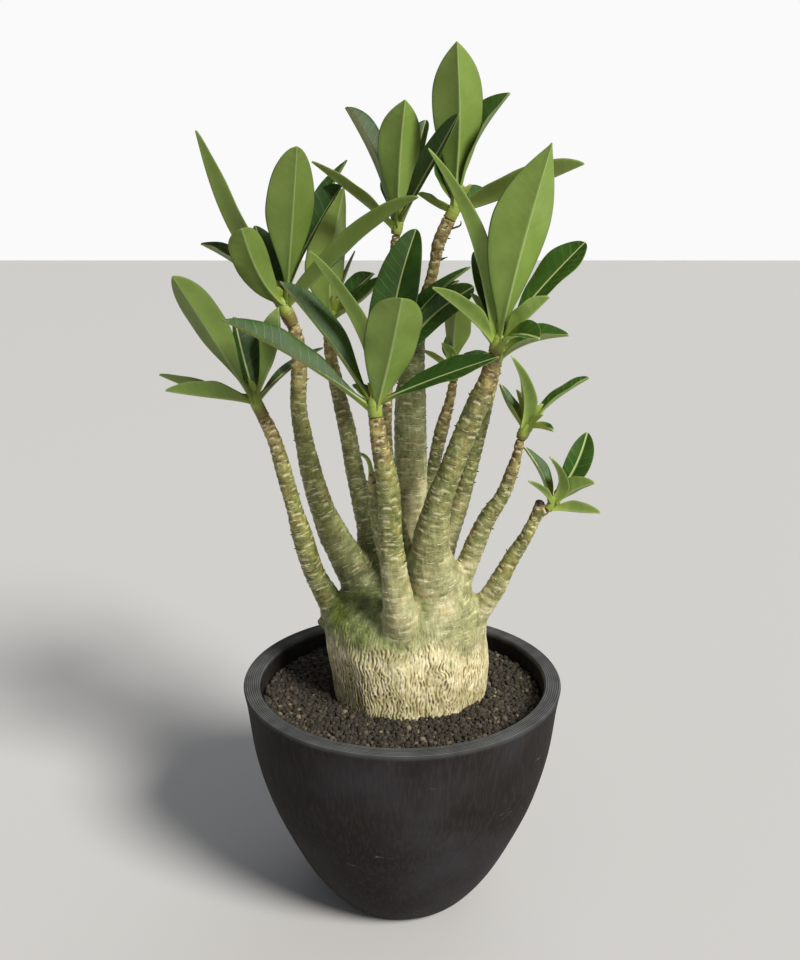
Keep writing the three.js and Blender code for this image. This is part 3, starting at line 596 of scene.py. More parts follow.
def stem_lines(tree, run, on_stem):
    """Fine lines on the skin of the stems, each with its share and colour: rings of wrinkled
    skin, and thin crescents of old leaf scars, each with a painted shadow line above it."""
    ring_map = add(tree, "Mapping", {"Vector": run, "Scale": RING_REPEATS})
    rings = add(tree, "TexNoise", {"Vector": ring_map, "Scale": 1, "Detail": 4, "Roughness": 0.6})
    scar_map = add(tree, "Mapping", {"Vector": run, "Scale": SCAR_REPEATS})
    cells = add(tree, "TexVoronoi", {"Vector": scar_map, "Scale": 1, "Randomness": 1})
    # a crescent sags from the middle of its cell, and only some cells have one
    inside = add(tree, "VectorMath", [scar_map, cells.outputs["Position"]], operation="SUBTRACT")
    one_way, other_way, up = add(tree, "SeparateXYZ", [inside]).outputs
    square = add(tree, "Math", [one_way, one_way], operation="MULTIPLY")
    square = add(tree, "Math", [other_way, other_way, square], operation="MULTIPLY_ADD")
    sag = add(tree, "Math", [square, -0.9, up], operation="MULTIPLY_ADD")
    near = add(tree, "MapRange", [square, 0.2, 0.1])
    chance = add(tree, "SeparateXYZ", [cells.outputs["Color"]])
    chosen = add(tree, "MapRange", [chance, 0.2, 0.9])
    for limit in (near, on_stem):
        chosen = add(tree, "Math", [chosen, limit], operation="MULTIPLY")
    # each line: pattern, level, half width, where it shows, share, colour
    lines = []
    for pattern, level, half, limit, share, colour in (
            (rings, 0.52, 0.022, on_stem, 0.24, "#d0c795"),
            (rings, 0.45, 0.02, on_stem, 0.2, "#3a3619"),
            (sag, 0, 0.065, chosen, 0.9, "#e9e3c0"),
            # painted shadow: the dark line just above each pale scar crescent
            (sag, 0.13, 0.055, chosen, 0.42, "#3c3519")):
        line = add(tree, "Math", [pattern, level, half], operation="COMPARE")
        for factor in (limit, share):
            line = add(tree, "Math", [line, factor], operation="MULTIPLY")
        lines.append((line, colour))
    return lines


def living_bark():
    """Thin living bark: cream and deeply wrinkled low down with painted shade in its grooves,
    grey-green above, brown crust by the heads, with fine rings and pale leaf scars on the stems, a
    painted shadow line above each scar, and a soft waxy sheen."""
    material, tree = start_material("living_bark")
    where = add(tree, "TexCoord").outputs["Object"]
    on_stem = add(tree, "Attribute", attribute_name="bark_stem").outputs["Fac"]
    zone, marks, drift, run = (
        add(tree, "Attribute", attribute_name=name).outputs["Vector"]
        for name in ("bark_zone", "bark_marks_and_shade", "bark_drift", "bark_run"))
    pale, olive, crust = add(tree, "SeparateXYZ", [zone]).outputs
    scar, furrow_shade, dark = add(tree, "SeparateXYZ", [marks]).outputs
    *drifts, moss = add(tree, "SeparateXYZ", [drift]).outputs
    # mottled skin in patches about 7 mm across
    mottle = add(tree, "TexNoise",
                 {"Vector": where, "Scale": per_metre(6.7), "Detail": 7, "Roughness": 0.65})
    green, *others = (add(tree, "ValToRGB", [mottle], zip((0.36, 0.5, 0.64), tones))
                      for tones in BARK_TONES)
    # painted shade: a dark colour laid in the grooves between the trunk's cords
    groove = trunk_groove_shade(tree, where, mottle, drifts, furrow_shade)
    lines = stem_lines(tree, run, on_stem)
    skin = layered(tree, green, *zip((olive, crust, pale, moss), others), (groove, "#6b6338"),
                   *lines, (scar, "#e4dcb2"), (dark, "#2c2418"))
    # fine upright wrinkles about 1.4 mm apart, broken every 7 mm
    upright = add(tree, "Mapping", {"Vector": where, "Scale": (1, 1, 0.2)})
    warp = add(tree, "TexNoise",
               {"Vector": where, "Scale": per_metre(6.25), "Detail": 2}).outputs["Color"]
    warped = add(tree, "Mix", [0.004, upright, warp], data_type="RGBA")
    fine = add(tree, "TexNoise", {"Vector": warped, "Scale": per_metre(1.43), "Detail": 3})
    darkest = add(tree, "MapRange", [on_stem, 0, 1, 0.76, 0.84])
    lightest = add(tree, "MapRange", [on_stem, 0, 1, 1.2, 1.14])
    speck = add(tree, "MapRange", [fine, 0.36, 0.64, darkest, lightest])
    colour = add(tree, "VectorMath", [skin, speck], operation="SCALE")
    relief = add(tree, "Math", [lines[0][0], 0.8, fine], operation="MULTIPLY_ADD")
    bump = add(tree, "Bump", {"Height": relief, "Strength": 0.6, "Distance": 0.0007})
    return finish_material(material, {"Base Color": colour, "Roughness": 0.5, "Normal": bump,
                                      "IOR": 1.45, "Subsurface Weight": 0.03})


def waxy_leaf():
    """A thick evergreen leaf: dark above, pale below, satin wax on both faces, with a pale
    midrib, faint side veins and a thin light margin."""
    material, tree = start_material("waxy_leaf")
    where = add(tree, "TexCoord").outputs["Object"]
    place, kind = (add(tree, "Attribute", attribute_name=name).outputs["Vector"]
                   for name in ("leaf_place", "leaf_kind"))
    across, along, edge = add(tree, "SeparateXYZ", [place]).outputs
    upper, tone, young = add(tree, "SeparateXYZ", [kind]).outputs
    # mottled greens in patches about 11 mm across
    mottle = add(tree, "TexNoise", {"Vector": where, "Scale": per_metre(11.1), "Detail": 5})
    below = add(tree, "ValToRGB", [mottle], [(0.3, "#70893b"), (0.7, "#7c9446")])
    above = add(tree, "ValToRGB", [mottle], [(0.3, "#1f3f0d"), (0.7, "#2b5215")])
    # side veins leave the midrib at about 50 degrees, unevenly, and fade in and out
    distance = add(tree, "Math", [across], operation="ABSOLUTE")
    drift = add(tree, "Math", [mottle, 6, along], operation="MULTIPLY_ADD")
    lean = add(tree, "Math", [distance, -0.8, drift], operation="MULTIPLY_ADD")
    turn = add(tree, "Math", [lean, 2 * math.pi / VEIN_PITCH], operation="MULTIPLY")
    wave = add(tree, "Math", [turn], operation="COSINE")
    clear = add(tree, "TexNoise", {"Vector": where, "Scale": per_metre(18.2), "Detail": 1})
    strength = add(tree, "MapRange", [clear, 0.42, 0.62, 0.05, 0.38])
    vein = add(tree, "MapRange", [wave, 0.975, 1, 0, strength])
    # the midrib is about 1.6 mm wide at the foot and thins to the tip; it shows most above
    rib_half = add(tree, "MapRange", [along, 0, 90, 0.8, 0.25])
    rib_share = add(tree, "Math", [distance, rib_half], operation="DIVIDE")
    rib_strength = add(tree, "MapRange", [upper, 0, 1, 0.4, 0.8])
    rib = add(tree, "MapRange", [rib_share, 1.25, 0.75, 0, rib_strength])
    margin = add(tree, "MapRange", [edge, 0.97, 1, 0, 0.4])
    # a leaf's foot and the young leaves are fresh green; the shoot is corky by its stem
    foot = add(tree, "MapRange", [along, 12, 1, 0, 0.75])
    fresh = add(tree, "Math", [foot, young], operation="MAXIMUM")
    cork = add(tree, "Math", [young, -1], operation="MULTIPLY")
    skin = layered(tree, below, (upper, above), (vein, "#92a968"), (rib, "#b3c285"),
                   (margin, "#8c9f5c"), (fresh, "#8f9f3a"), (cork, "#6f5f36"))
    # painted light and random tone: each leaf is scaled lighter or darker, and leaves on the plant's
    # right are lighter
    shade = add(tree, "MapRange", [tone, 0, 1, 0.74, 1.22])
    colour = add(tree, "VectorMath", [skin, shade], operation="SCALE")
    rough = add(tree, "MapRange", [upper, 0, 1, 0.48, 0.52])
    # leaf pores and cell net about 0.4 mm across
    pores = add(tree, "TexNoise", {"Vector": where, "Scale": per_metre(0.43), "Detail": 2})
    relief = add(tree, "Math", [vein, -0.6, pores], operation="MULTIPLY_ADD")
    bump = add(tree, "Bump", {"Height": relief, "Strength": 0.22, "Distance": 0.0003})
    return finish_material(material, {"Base Color": colour, "Roughness": rough, "Normal": bump,
                                      "IOR": 1.47, "Specular IOR Level": 0.36,
                                      "Subsurface Weight": 0.05})


def dry_stalk():
    """Dead leaf stalks: shrivelled, nearly black, dull."""
    material, tree = start_material("dry_stalk")
    where = add(tree, "TexCoord").outputs["Object"]
    # shrivelled folds about 1.1 mm across
    folds = add(tree, "TexNoise", {"Vector": where, "Scale": per_metre(1.11), "Detail": 3})
    base = add(tree, "ValToRGB", [folds], [(0.35, "#241d15"), (0.65, "#4a3c2a")])
    bump = add(tree, "Bump", {"Height": folds, "Strength": 0.6, "Distance": 0.0004})
    return finish_material(material, {"Base Color": base, "Roughness": 0.85, "Normal": bump,
                                      "IOR": 1.45})


def dress(piece, material, slot, *nodes):
    """Gives a piece its material and its place in the part."""
    piece.data.materials.append(material)
    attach(piece, "root")
    if nodes:
        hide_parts(*nodes)


# ---------------------------------------------------------------- pot
def smooth_profile(profile, step):
    """Profile of (height, radius) pairs as a smooth curve with points a step apart."""
    rows = [(height, radius, 0, 0) for height, radius in profile]
    return path_points(rows, step)[0][:, :2]


def rim_profile():
    """From the outer edge of the rim to the inner one: two rounded corners, turned lines."""
    outer, inner = POT_RADIUS - RIM_ROUND, POT_RADIUS - POT_WALL + RIM_ROUND
    low = POT_HEIGHT - RIM_ROUND
    quarter = np.radians(np.arange(15, 90, 15))
    profile = [(low + RIM_ROUND * math.sin(a), outer + RIM_ROUND * math.cos(a)) for a in quarter]
    for radius in np.arange(outer, inner, -RIM_LINE / 4):
        groove = 0.5 - 0.5 * math.cos(2 * math.pi * (outer - radius) / RIM_LINE)
        worn = 0.6 + 0.4 * math.sin(radius * 2.3)
        profile.append((POT_HEIGHT - RIM_GROOVE * groove * worn, radius))
    profile += [(low + RIM_ROUND * math.cos(a), inner - RIM_ROUND * math.sin(a)) for a in quarter]
    return profile


def make_pot(material):
    """One turned shell with drain holes; its rim is marked for paler, scraped plastic."""
    outside = smooth_profile(POT_OUTSIDE, 2)
    inside = smooth_profile(POT_INSIDE, 2.5)[::-1]
    profile = np.vstack([[(0, FLOOR_MIDDLE)], outside, rim_profile(), inside,
                         [(FLOOR_THICK, FLOOR_MIDDLE)]])
    pot = mesh_object("pot_turned", turned(profile, POT_SIDES))
    points = points_of(pot)
    # a moulded pot is never quite true: its wall dips a little here and there
    radius = np.hypot(points[:, 0], points[:, 1])
    dip = np.minimum(0.25 * field(points, (60, 60, 45)) + 0.05 * field(points, (9, 9, 30), 5), 0)
    wall = (radius > POT_OUTSIDE[0][1]) & (points[:, 2] < WALL_TOP)
    points[:, :2] *= 1 + (wall * dip / np.maximum(radius, 1))[:, None]
    set_points(pot, points)
    pitch = 2 * math.pi / DRAIN_COUNT
    drains = []
    for k in range(DRAIN_COUNT):
        angle = (k + 0.5) * pitch
        shift = np.array([DRAIN_PITCH * math.cos(angle), DRAIN_PITCH * math.sin(angle), 0])
        bore, faces = turned([(-2, DRAIN_RADIUS), (FLOOR_THICK + 2, DRAIN_RADIUS)], 48)
        drains.append((bore + shift, faces))
    drill = mesh_object("drain_drill", joined(drains))
    applied(pot, "BOOLEAN", object=drill, operation="DIFFERENCE", solver="EXACT")
    bpy.data.objects.remove(drill)
    pot.data.set_sharp_from_angle(angle=math.radians(50))
    points = points_of(pot)
    radius = np.hypot(points[:, 0], points[:, 1])
    top = smoothstep(POT_HEIGHT - 2.2, POT_HEIGHT - 1, points[:, 2])
    worn = 0.75 + 0.35 * field(points, (7, 7, 7), 3)
    mark(pot, "rim", top * np.clip(worn, 0, 1) * (radius > POT_RADIUS - POT_WALL - 1))
    dress(pot, material, "pot", "pot")


# ---------------------------------------------------------------- potting mix
def trunk_size(height):
    """Centre and half widths of the trunk at a height."""
    heights, *sizes = np.array(TRUNK_RINGS, float).T
    return [np.interp(height, heights, size) for size in sizes]


def trunk_ring(height, angles, grow=0.0):
    """Points of the trunk's fluted outline at a height."""
    cx, cy, rx, ry = trunk_size(height)
    flutes = (np.sin(3 * angles + 0.6 + height * 0.012)
              + 0.6 * np.sin(7 * angles - 1.1 - height * 0.02)
              + 0.45 * np.sin(11 * angles + 2 + height * 0.03))
    extra = grow + LOBE_DEPTH * flutes
    x = cx + (rx + extra) * np.cos(angles)
    y = cy + (ry + extra) * np.sin(angles)
    return np.stack([x, y, np.full_like(angles, height)], axis=1)


def inside_radius(height):
    """Radius of the pot's wall on its inside."""
    heights, radii = np.array(POT_INSIDE, float).T
    return float(np.interp(height, heights, radii))


def bed_height(points):
    """The mix lies almost level, in shallow waves about 22 mm across."""
    return SOIL_LEVEL - 1.0 + 0.7 * field(points * [1, 1, 0], (22, 22, 22), 9)


def make_bed(material):
    """The mix below its top grains: fills the pot and leaves a hole for the trunk."""
    angles = np.linspace(0, 2 * math.pi, BED_SIDES, endpoint=False)
    circle = np.stack([np.cos(angles), np.sin(angles), 0 * angles], axis=1)
    rings = []
    for height in (FLOOR_THICK + 0.4, 16, 28, 42, 60, 80, 102, 124, SOIL_LEVEL - 3):
        rings.append(circle * (inside_radius(height) - WALL_GAP) + [0, 0, height])
    outer = circle * (inside_radius(SOIL_LEVEL) - WALL_GAP)
    inner = trunk_ring(SOIL_LEVEL, angles, TRUNK_GAP) * [1, 1, 0]
    # the top runs from the pot's wall to the trunk's outline, and then down beside the trunk
    for share in np.linspace(0, 1, 22):
        ring = outer * (1 - share) + inner * share
        ring[:, 2] = bed_height(ring) + 0.5 * field(ring, (2.2, 2.2, 2.2), 4)
        rings.append(ring)
    for height in (130, 120, 112, 104, 103):
        rings.append(trunk_ring(height, angles, TRUNK_GAP))
    bed = mesh_object("mix_bed", loft(rings))
    draws = random.Random(3)
    mark(bed, "grain_tone", [draws.uniform(0, 0.4) for _ in bed.data.vertices])
    dress(bed, material, "substrate", "substrate")


def grain_template(seed, count):
    """One irregular crumb about 1 mm in radius, from a cube with count points on each edge."""
    steps = np.linspace(-1, 1, count)
    points, faces, index = [], [], {}
    for axis in range(3):
        for sign in (-1, 1):
            for i in range(count - 1):
                for j in range(count - 1):
                    corners = []
                    for a, b in ((i, j), (i + 1, j), (i + 1, j + 1), (i, j + 1)):
                        p = [0.0, 0.0, 0.0]
                        p[axis] = sign
                        p[(axis + 1) % 3] = steps[a]
                        p[(axis + 2) % 3] = steps[b]
                        key = tuple(round(c, 3) for c in p)
                        if key not in index:
                            index[key] = len(points)
                            points.append(p)
                        corners.append(index[key])
                    faces.append(tuple(corners if sign > 0 else corners[::-1]))
    points = np.array(points, float)
    points /= np.linalg.norm(points, axis=1)[:, None] ** 0.8
    points *= 1 + 0.34 * field(points, (0.8, 0.8, 0.8), seed * 3.7)[:, None]
    return points, faces


def turn_matrix(draws):
    """A random turn in space."""
    axis = Vector([draws.gauss(0, 1) for _ in range(3)]).normalized()
    half = draws.uniform(0, math.pi)
    x, y, z = axis * math.sin(half)
    w = math.cos(half)
    return np.array([[1 - 2 * (y * y + z * z), 2 * (x * y - z * w), 2 * (x * z + y * w)],
                     [2 * (x * y + z * w), 1 - 2 * (x * x + z * z), 2 * (y * z - x * w)],
                     [2 * (x * z - y * w), 2 * (y * z + x * w), 1 - 2 * (x * x + y * y)]])


def make_grains(material, name, seed, edge_points, lift, large_share):
    """A layer of crumbs over the bed, each at its own place, size, turn and tone."""
    cx, cy, rx, ry = MIX_HOLE
    draws = random.Random(seed)
    templates = [grain_template(k + seed, edge_points) for k in range(GRAIN_KINDS)]
    reach = inside_radius(SOIL_LEVEL)
    rows = int(2 * reach / GRAIN_STEP)
    shapes, tones = [], []
    for i in range(rows):
        for j in range(rows):
            x = (i + draws.uniform(-0.1, 1.1)) * GRAIN_STEP - reach
            y = (j + draws.uniform(-0.1, 1.1)) * GRAIN_STEP - reach
            size = draws.uniform(*GRAIN_SIZES)
            size *= LARGE_GRAIN if draws.random() <= large_share else 1
            angle = math.atan2((y - cy) / ry, (x - cx) / rx)
            edge = trunk_ring(SOIL_LEVEL, np.array([angle]))[0]
            clear = math.hypot(x - cx, y - cy) - math.hypot(edge[0] - cx, edge[1] - cy)
            if clear < size * 0.55 or math.hypot(x, y) > reach - 0.5 - size * 0.95:
                continue
            points, faces = templates[draws.randrange(len(templates))]
            stretch = [draws.uniform(0.75, 1.25) for _ in range(3)]
            placed = (points * stretch * size) @ turn_matrix(draws).T
            height = float(bed_height(np.array([[x, y, 0.0]]))[0]) + lift + draws.uniform(-0.5, 0.7)
            shapes.append((placed + [x, y, height], faces))
            # most crumbs are dark, a few are tan
            tones += [draws.random() ** 1.7] * len(points)
    grains = mesh_object(name, joined(shapes))
    mark(grains, "grain_tone", tones)
    dress(grains, material, "substrate")


# ---------------------------------------------------------------- trunk and stems
def neighbour_mean(points, edges, counts):
    """Mean place of each point's neighbours."""
    total = np.zeros_like(points)
    for axis in range(3):
        total[:, axis] += np.bincount(edges[:, 0], points[edges[:, 1], axis], len(points))
        total[:, axis] += np.bincount(edges[:, 1], points[edges[:, 0], axis], len(points))
    return total / counts[:, None]


def bark_shape():
    """The trunk and all stems as overlapping closed skins, before they are fused."""
    angles = np.linspace(0, 2 * math.pi, TRUNK_SIDES, endpoint=False)
    heights = np.arange(TRUNK_RINGS[0][0], TRUNK_RINGS[-1][0] + 0.1, TRUNK_STEP)
    shapes = [loft([trunk_ring(height, angles) for height in heights])]
    for path in STEMS.values():
        points, tangents, radii, _ = path_points(path, STEM_STEP)
        shapes.append(tube(points, tangents, radii, STEM_SIDES))
    x, y, z, r = COLLAR
    bulge = [(x + r, y, z, 1), (x + r * 0.6, y, z, r * 0.8), (x, y, z, r),
             (x - r * 0.7, y, z, r * 0.7), (x - r, y, z, r * 0.3)]
    points, tangents, radii, _ = path_points(bulge, 0.8)
    shapes.append(tube(points, tangents, radii, 16))
    return joined(shapes)


def fill_crotches(piece):
    """Smooths hollows much more than the rest, so that stems flow into the trunk."""
    edges = np.empty(len(piece.data.edges) * 2, dtype=np.int64)
    piece.data.edges.foreach_get("vertices", edges)
    edges = edges.reshape(-1, 2)
    points = points_of(piece)
    counts = np.maximum(np.bincount(edges.ravel(), minlength=len(points)), 1).astype(float)
    # in a hollow a point goes 0.6 of the way to its neighbours, elsewhere half the way in the
    # first pass and hardly at all in the others
    for k in range(CROTCH_PASSES):
        if k % 5 == 0:
            set_points(piece, points)
            normals = normals_of(piece)
        pull = neighbour_mean(points, edges, counts) - points
        hollow = np.einsum("ij,ij->i", pull, normals)
        amount = np.where(hollow > 0.01, 0.6, 0.02 if k else 0.5)
        points = points + pull * amount[:, None]
    for _ in range(2):
        points = points + 0.5 * (neighbour_mean(points, edges, counts) - points)
    set_points(piece, points)


def stem_samples():
    """Points down the middle of every stem. Each row holds place, radius, tangent, side,
    distance from the foot, distance to the end, and number of the stem."""
    rows = []
    for index, path in enumerate(STEMS.values()):
        points, tangents, radii, run = path_points(path, STEM_STEP)
        sides, _ = ring_frames(tangents)
        stem = np.full(len(points), index)
        rows.append(np.column_stack([points, radii, tangents, sides, run, run[-1] - run, stem]))
    return np.vstack(rows)


def bark_places(points):
    """For each point: the share that belongs to a stem, loosely and more strictly (grown), and
    on that stem its radius, angle round it, distances from foot and to end, and its number."""
    samples = stem_samples()
    centres, radii = samples[:, :3].astype(np.float32), samples[:, 3].astype(np.float32)
    nearest = np.empty(len(points), dtype=np.int64)
    score = np.empty(len(points))
    batch = 20000
    for start in range(0, len(points), batch):
        part = points[start:start + batch].astype(np.float32)
        square = (part ** 2).sum(1)[:, None] + (centres ** 2).sum(1) - 2 * part @ centres.T
        gaps = np.sqrt(np.maximum(square, 0)) - radii
        nearest[start:start + batch] = gaps.argmin(axis=1)
        score[start:start + batch] = gaps.min(axis=1)
    chosen = samples[nearest]
    offset = points - chosen[:, :3]
    tangent, side = chosen[:, 4:7], chosen[:, 7:10]
    shift = np.einsum("ij,ij->i", offset, tangent)
    other = np.cross(tangent, side)
    angle = np.arctan2(np.einsum("ij,ij->i", offset, other), np.einsum("ij,ij->i", offset, side))
    z = points[:, 2]
    cx, cy, rx, ry = trunk_size(z)
    trunk = (np.hypot((points[:, 0] - cx) / rx, (points[:, 1] - cy) / ry) - 1) * rx
    trunk = np.maximum(trunk, z - TRUNK_RINGS[-1][0])
    stem = smoothstep(-2.5, 5, trunk - score)
    return {"stem": stem, "grown": smoothstep(0.3, 0.8, stem), "radius": chosen[:, 3],
            "angle": angle, "along": chosen[:, 10] + shift, "to_end": chosen[:, 11] - shift,
            "index": chosen[:, 12].astype(int)}


def leaf_scars(places, draws):
    """Pale crescents where leaves were shed, in a spiral up every stem, and their pits. They
    are small eyes near the head and stretch into dashes as the stem grows thicker."""
    scar = np.zeros(len(places["along"]))
    pit = np.zeros_like(scar)
    for index, path in enumerate(STEMS.values()):
        mine = np.flatnonzero((places["index"] == index) & (places["stem"] > 0.45))
        if not len(mine):
            continue
        along, angle = places["along"][mine], places["angle"][mine]
        radius = places["radius"][mine]
        length = path_points(path, 5)[3][-1]
        place, turn = 6.0, draws.uniform(0, 6)
        while place < length - 1:
            near = np.abs(along - place) < 5
            old = 1 - place / length
            gap = (angle[near] - turn + math.pi) % (2 * math.pi) - math.pi
            arc = gap * radius[near]
            reach = draws.uniform(1.4, 2.4) + draws.uniform(0, 3) * old
            sag = draws.uniform(0.6, 1.5) * (1.1 - old) * (arc / reach) ** 2
            wide = draws.uniform(0.45, 0.7)
            line = np.exp(-((along[near] - place + sag) / wide) ** 2)
            line *= np.clip(1.4 - (arc / reach) ** 2, 0, 1)
            strength = draws.uniform(0.4, 1)
            spot = mine[near]
            scar[spot] = np.maximum(scar[spot], line * strength)
            eye = np.exp(-((along[near] - place - 1.1) ** 2 + (arc * 0.6) ** 2) / 0.9)
            pit[spot] = np.maximum(pit[spot], eye * strength * (1.2 - old))
            # leaves sat closer together where growth was slow
            dense = 0.55 + 0.45 * math.sin(place * 0.045 + index * 1.9) ** 2
            place += draws.uniform(1.3, 2.8) * dense * (1.35 if length > 170 else 1)
            turn += math.radians(GOLDEN_ANGLE) + draws.uniform(-0.3, 0.3)
    return scar, pit


def cord_drift(points):
    """How far the trunk's two families of cords wander sideways, as angles of their waves."""
    low = 0.6 + 0.4 * smoothstep(190, 160, points[:, 2])
    first = 9 * field(points, (9, 9, 8), 2) + 3.2 * low * field(points, (4, 4, 4.5), 5)
    second = 9 * field(points, (8, 8, 7), 33) + 3.2 * low * field(points, (3.5, 3.5, 4), 41)
    return np.stack([first, second], axis=1)


def spotted(points, spots):
    """Share of the nearest spot at each point of the trunk's front."""
    share = np.zeros(len(points))
    for x, z, across, up, strength in spots:
        reach = ((points[:, 0] - x) / across) ** 2 + ((points[:, 2] - z) / up) ** 2
        share = np.maximum(share, strength * np.exp(-reach) * (points[:, 1] < 5))
    return share


def cord_strength(points, stem):
    """How much the cords stand out: on the trunk alone, most low down, and in patches."""
    z = points[:, 2]
    cords = (0.25 + 0.75 * smoothstep(200, 182, z)) * (1 - stem)
    return cords * (0.7 + 0.25 * smoothstep(176, 158, z) + 0.9 * field(points, (5, 5, 8), 71))


def bark_relief(points, places, cords, drift, scar, pit):
    """Height of cords, bumps, scars and growth rings over the smooth bark."""
    around = np.arctan2(points[:, 1] - CORD_CENTRE[1], points[:, 0] - CORD_CENTRE[0])
    crest = np.cos(np.array(CORDS) * around[:, None] + drift).max(axis=1)
    trunk = CORD_DEPTH * cords * 0.5 * crest
    trunk += 0.5 * (1 - places["stem"]) * field(points, (5, 5, 9), 3)
    stems = 0.38 * scar - 0.45 * pit
    stems += 0.16 * field(points, (3.2, 3.2, 3.2), 8) * np.minimum(places["radius"] / 6, 1)
    # growth rings make the stems swell and narrow a little
    stems += 0.14 * np.sin(places["along"] * 1.25 + 2 * field(points, (9, 9, 9), 12))
    return trunk + places["grown"] * stems


def bark_colours(points, places):
    """Shares of cream, olive and brown crust at each point, and the share of moss."""
    stem, grown, to_end = places["stem"], places["grown"], places["to_end"]
    olive_share, cream_share, crust_length = np.array(list(STEM_SKINS.values()),
                                                      float)[places["index"]].T
    z = points[:, 2]
    patches = field(points, (13, 13, 10), 21)
    small_patches = field(points, (5, 5, 8), 51)
    down = to_end / np.maximum(to_end + places["along"], 1)
    # cream low on the trunk and on the lower part of some stems; it reaches higher up on the trunk's
    # right, toward the key lamp, as painted light
    lift = 14 * smoothstep(0, 35, points[:, 0])
    low = smoothstep(190, 172, z - lift + 8 * patches) * (1 - stem)
    low *= 1 - 0.22 * smoothstep(172, 142, z)
    cream = cream_share * smoothstep(0.4, 0.75, down + 0.15 * patches) * stem
    cream *= 0.6 + 0.4 * small_patches
    pale = np.maximum.reduce([low, cream, spotted(points, PALE_SPOTS) * (0.7 + 0.6 * patches)])
    # olive on the upper part of the stems
    olive = olive_share * smoothstep(0.85, 0.5, down + 0.3 * patches) * stem
    olive *= 0.65 + 0.6 * small_patches
    # brown crust by the heads, in patches all over the stems, and where the trunk meets the mix
    crust = smoothstep(1.15, 0.45, to_end / crust_length + 0.5 * small_patches) * grown
    crust = np.maximum(crust, 0.6 * grown * smoothstep(0.25, 0.55, small_patches))
    crust = np.maximum(crust, 0.8 * smoothstep(180, 165, z) * (1 - stem))
    moss = np.clip(spotted(points, GREEN_SPOTS) * (1 + 0.5 * small_patches), 0, 1)
    return np.clip(np.stack([pale, olive, crust], axis=1), 0, 1), moss


def make_bark(material):
    """Trunk and stems fused into one skin, then wrinkled, scarred and marked for colour."""
    bark = mesh_object("caudex_bark", bark_shape())
    applied(bark, "REMESH", mode="VOXEL", voxel_size=BARK_VOXEL * MM, use_smooth_shade=True)
    fill_crotches(bark)
    applied(bark, "SUBSURF", levels=1)
    points, normals = points_of(bark), normals_of(bark)
    places = bark_places(points)
    grown, angle = places["grown"], places["angle"]
    scar, pit = leaf_scars(places, random.Random(11))
    drift = cord_drift(points)
    cords = cord_strength(points, places["stem"])
    relief = bark_relief(points, places, cords, drift, scar, pit)
    set_points(bark, points + normals * relief[:, None])
    dark = 0.8 * pit * grown
    for name in CUT_STEMS:
        top = smoothstep(4.5, 1.5, places["to_end"])
        dark = np.maximum(dark, top * (places["index"] == list(STEMS).index(name)))
    # painted shade in the grooves between the cords, strongest where the cords stand out most
    furrow_shade = np.clip(cords, 0, 1) * 0.85
    colours, moss = bark_colours(points, places)
    mark(bark, "bark_zone", colours)
    mark(bark, "bark_marks_and_shade", np.column_stack([scar * grown, furrow_shade, dark]))
    mark(bark, "bark_drift", np.column_stack([drift, moss]))
    mark(bark, "bark_stem", grown)
    # the patterns of the stems' skin run round a rod that grows less than the stem does
    girth = 2.2 + 0.45 * places["radius"]
    mark(bark, "bark_run", np.column_stack([girth * np.cos(angle), girth * np.sin(angle),
                                            places["along"]]))
    dress(bark, material, "bark", "caudex")


# ---------------------------------------------------------------- leaf heads
def leaf_outline(t, widest, slimness, fullness, point):
    """Half width of a leaf from foot to tip, as a share of its greatest half width."""
    rising = np.sin(math.pi / 2 * np.minimum(t / widest, 1)) ** slimness
    past = np.clip((t - widest) / (1 - widest), 0, 1)
    return np.where(t < widest, rising, (1 - past ** fullness) ** point)


def blade_line(foot, tip, bend, lean, roll):
    """Middle line of a leaf: places from 0 at its foot to 1 at its tip, length, points, and
    the directions across the blade and up from it."""
    chord = tip - foot
    length = np.linalg.norm(chord)
    chord = chord / length
    face = np.array([0.0, 0.0, 1.0]) - chord * chord[2]
    face /= np.linalg.norm(face)
    turn = math.radians(roll)
    face = face * math.cos(turn) + np.cross(chord, face) * math.sin(turn)
    # stations lie closer together towards the tip
    s = np.linspace(0, 1, LEAF_STEPS)
    t = 0.62 * s + 0.38 * (1 - (1 - s) ** 2.2)
    phase = math.pi * t ** lean
    slope = math.pi * lean * np.maximum(t, 0.01) ** (lean - 1) * np.cos(phase)
    middle = foot + np.outer(t * length, chord) + np.outer(np.sin(phase), bend)
    tangent = chord * length + np.outer(slope, bend)
    tangent /= np.linalg.norm(tangent, axis=1)[:, None]
    side = np.cross(tangent, face)
    side /= np.linalg.norm(side, axis=1)[:, None]
    return t, length, middle, side, np.cross(side, tangent)


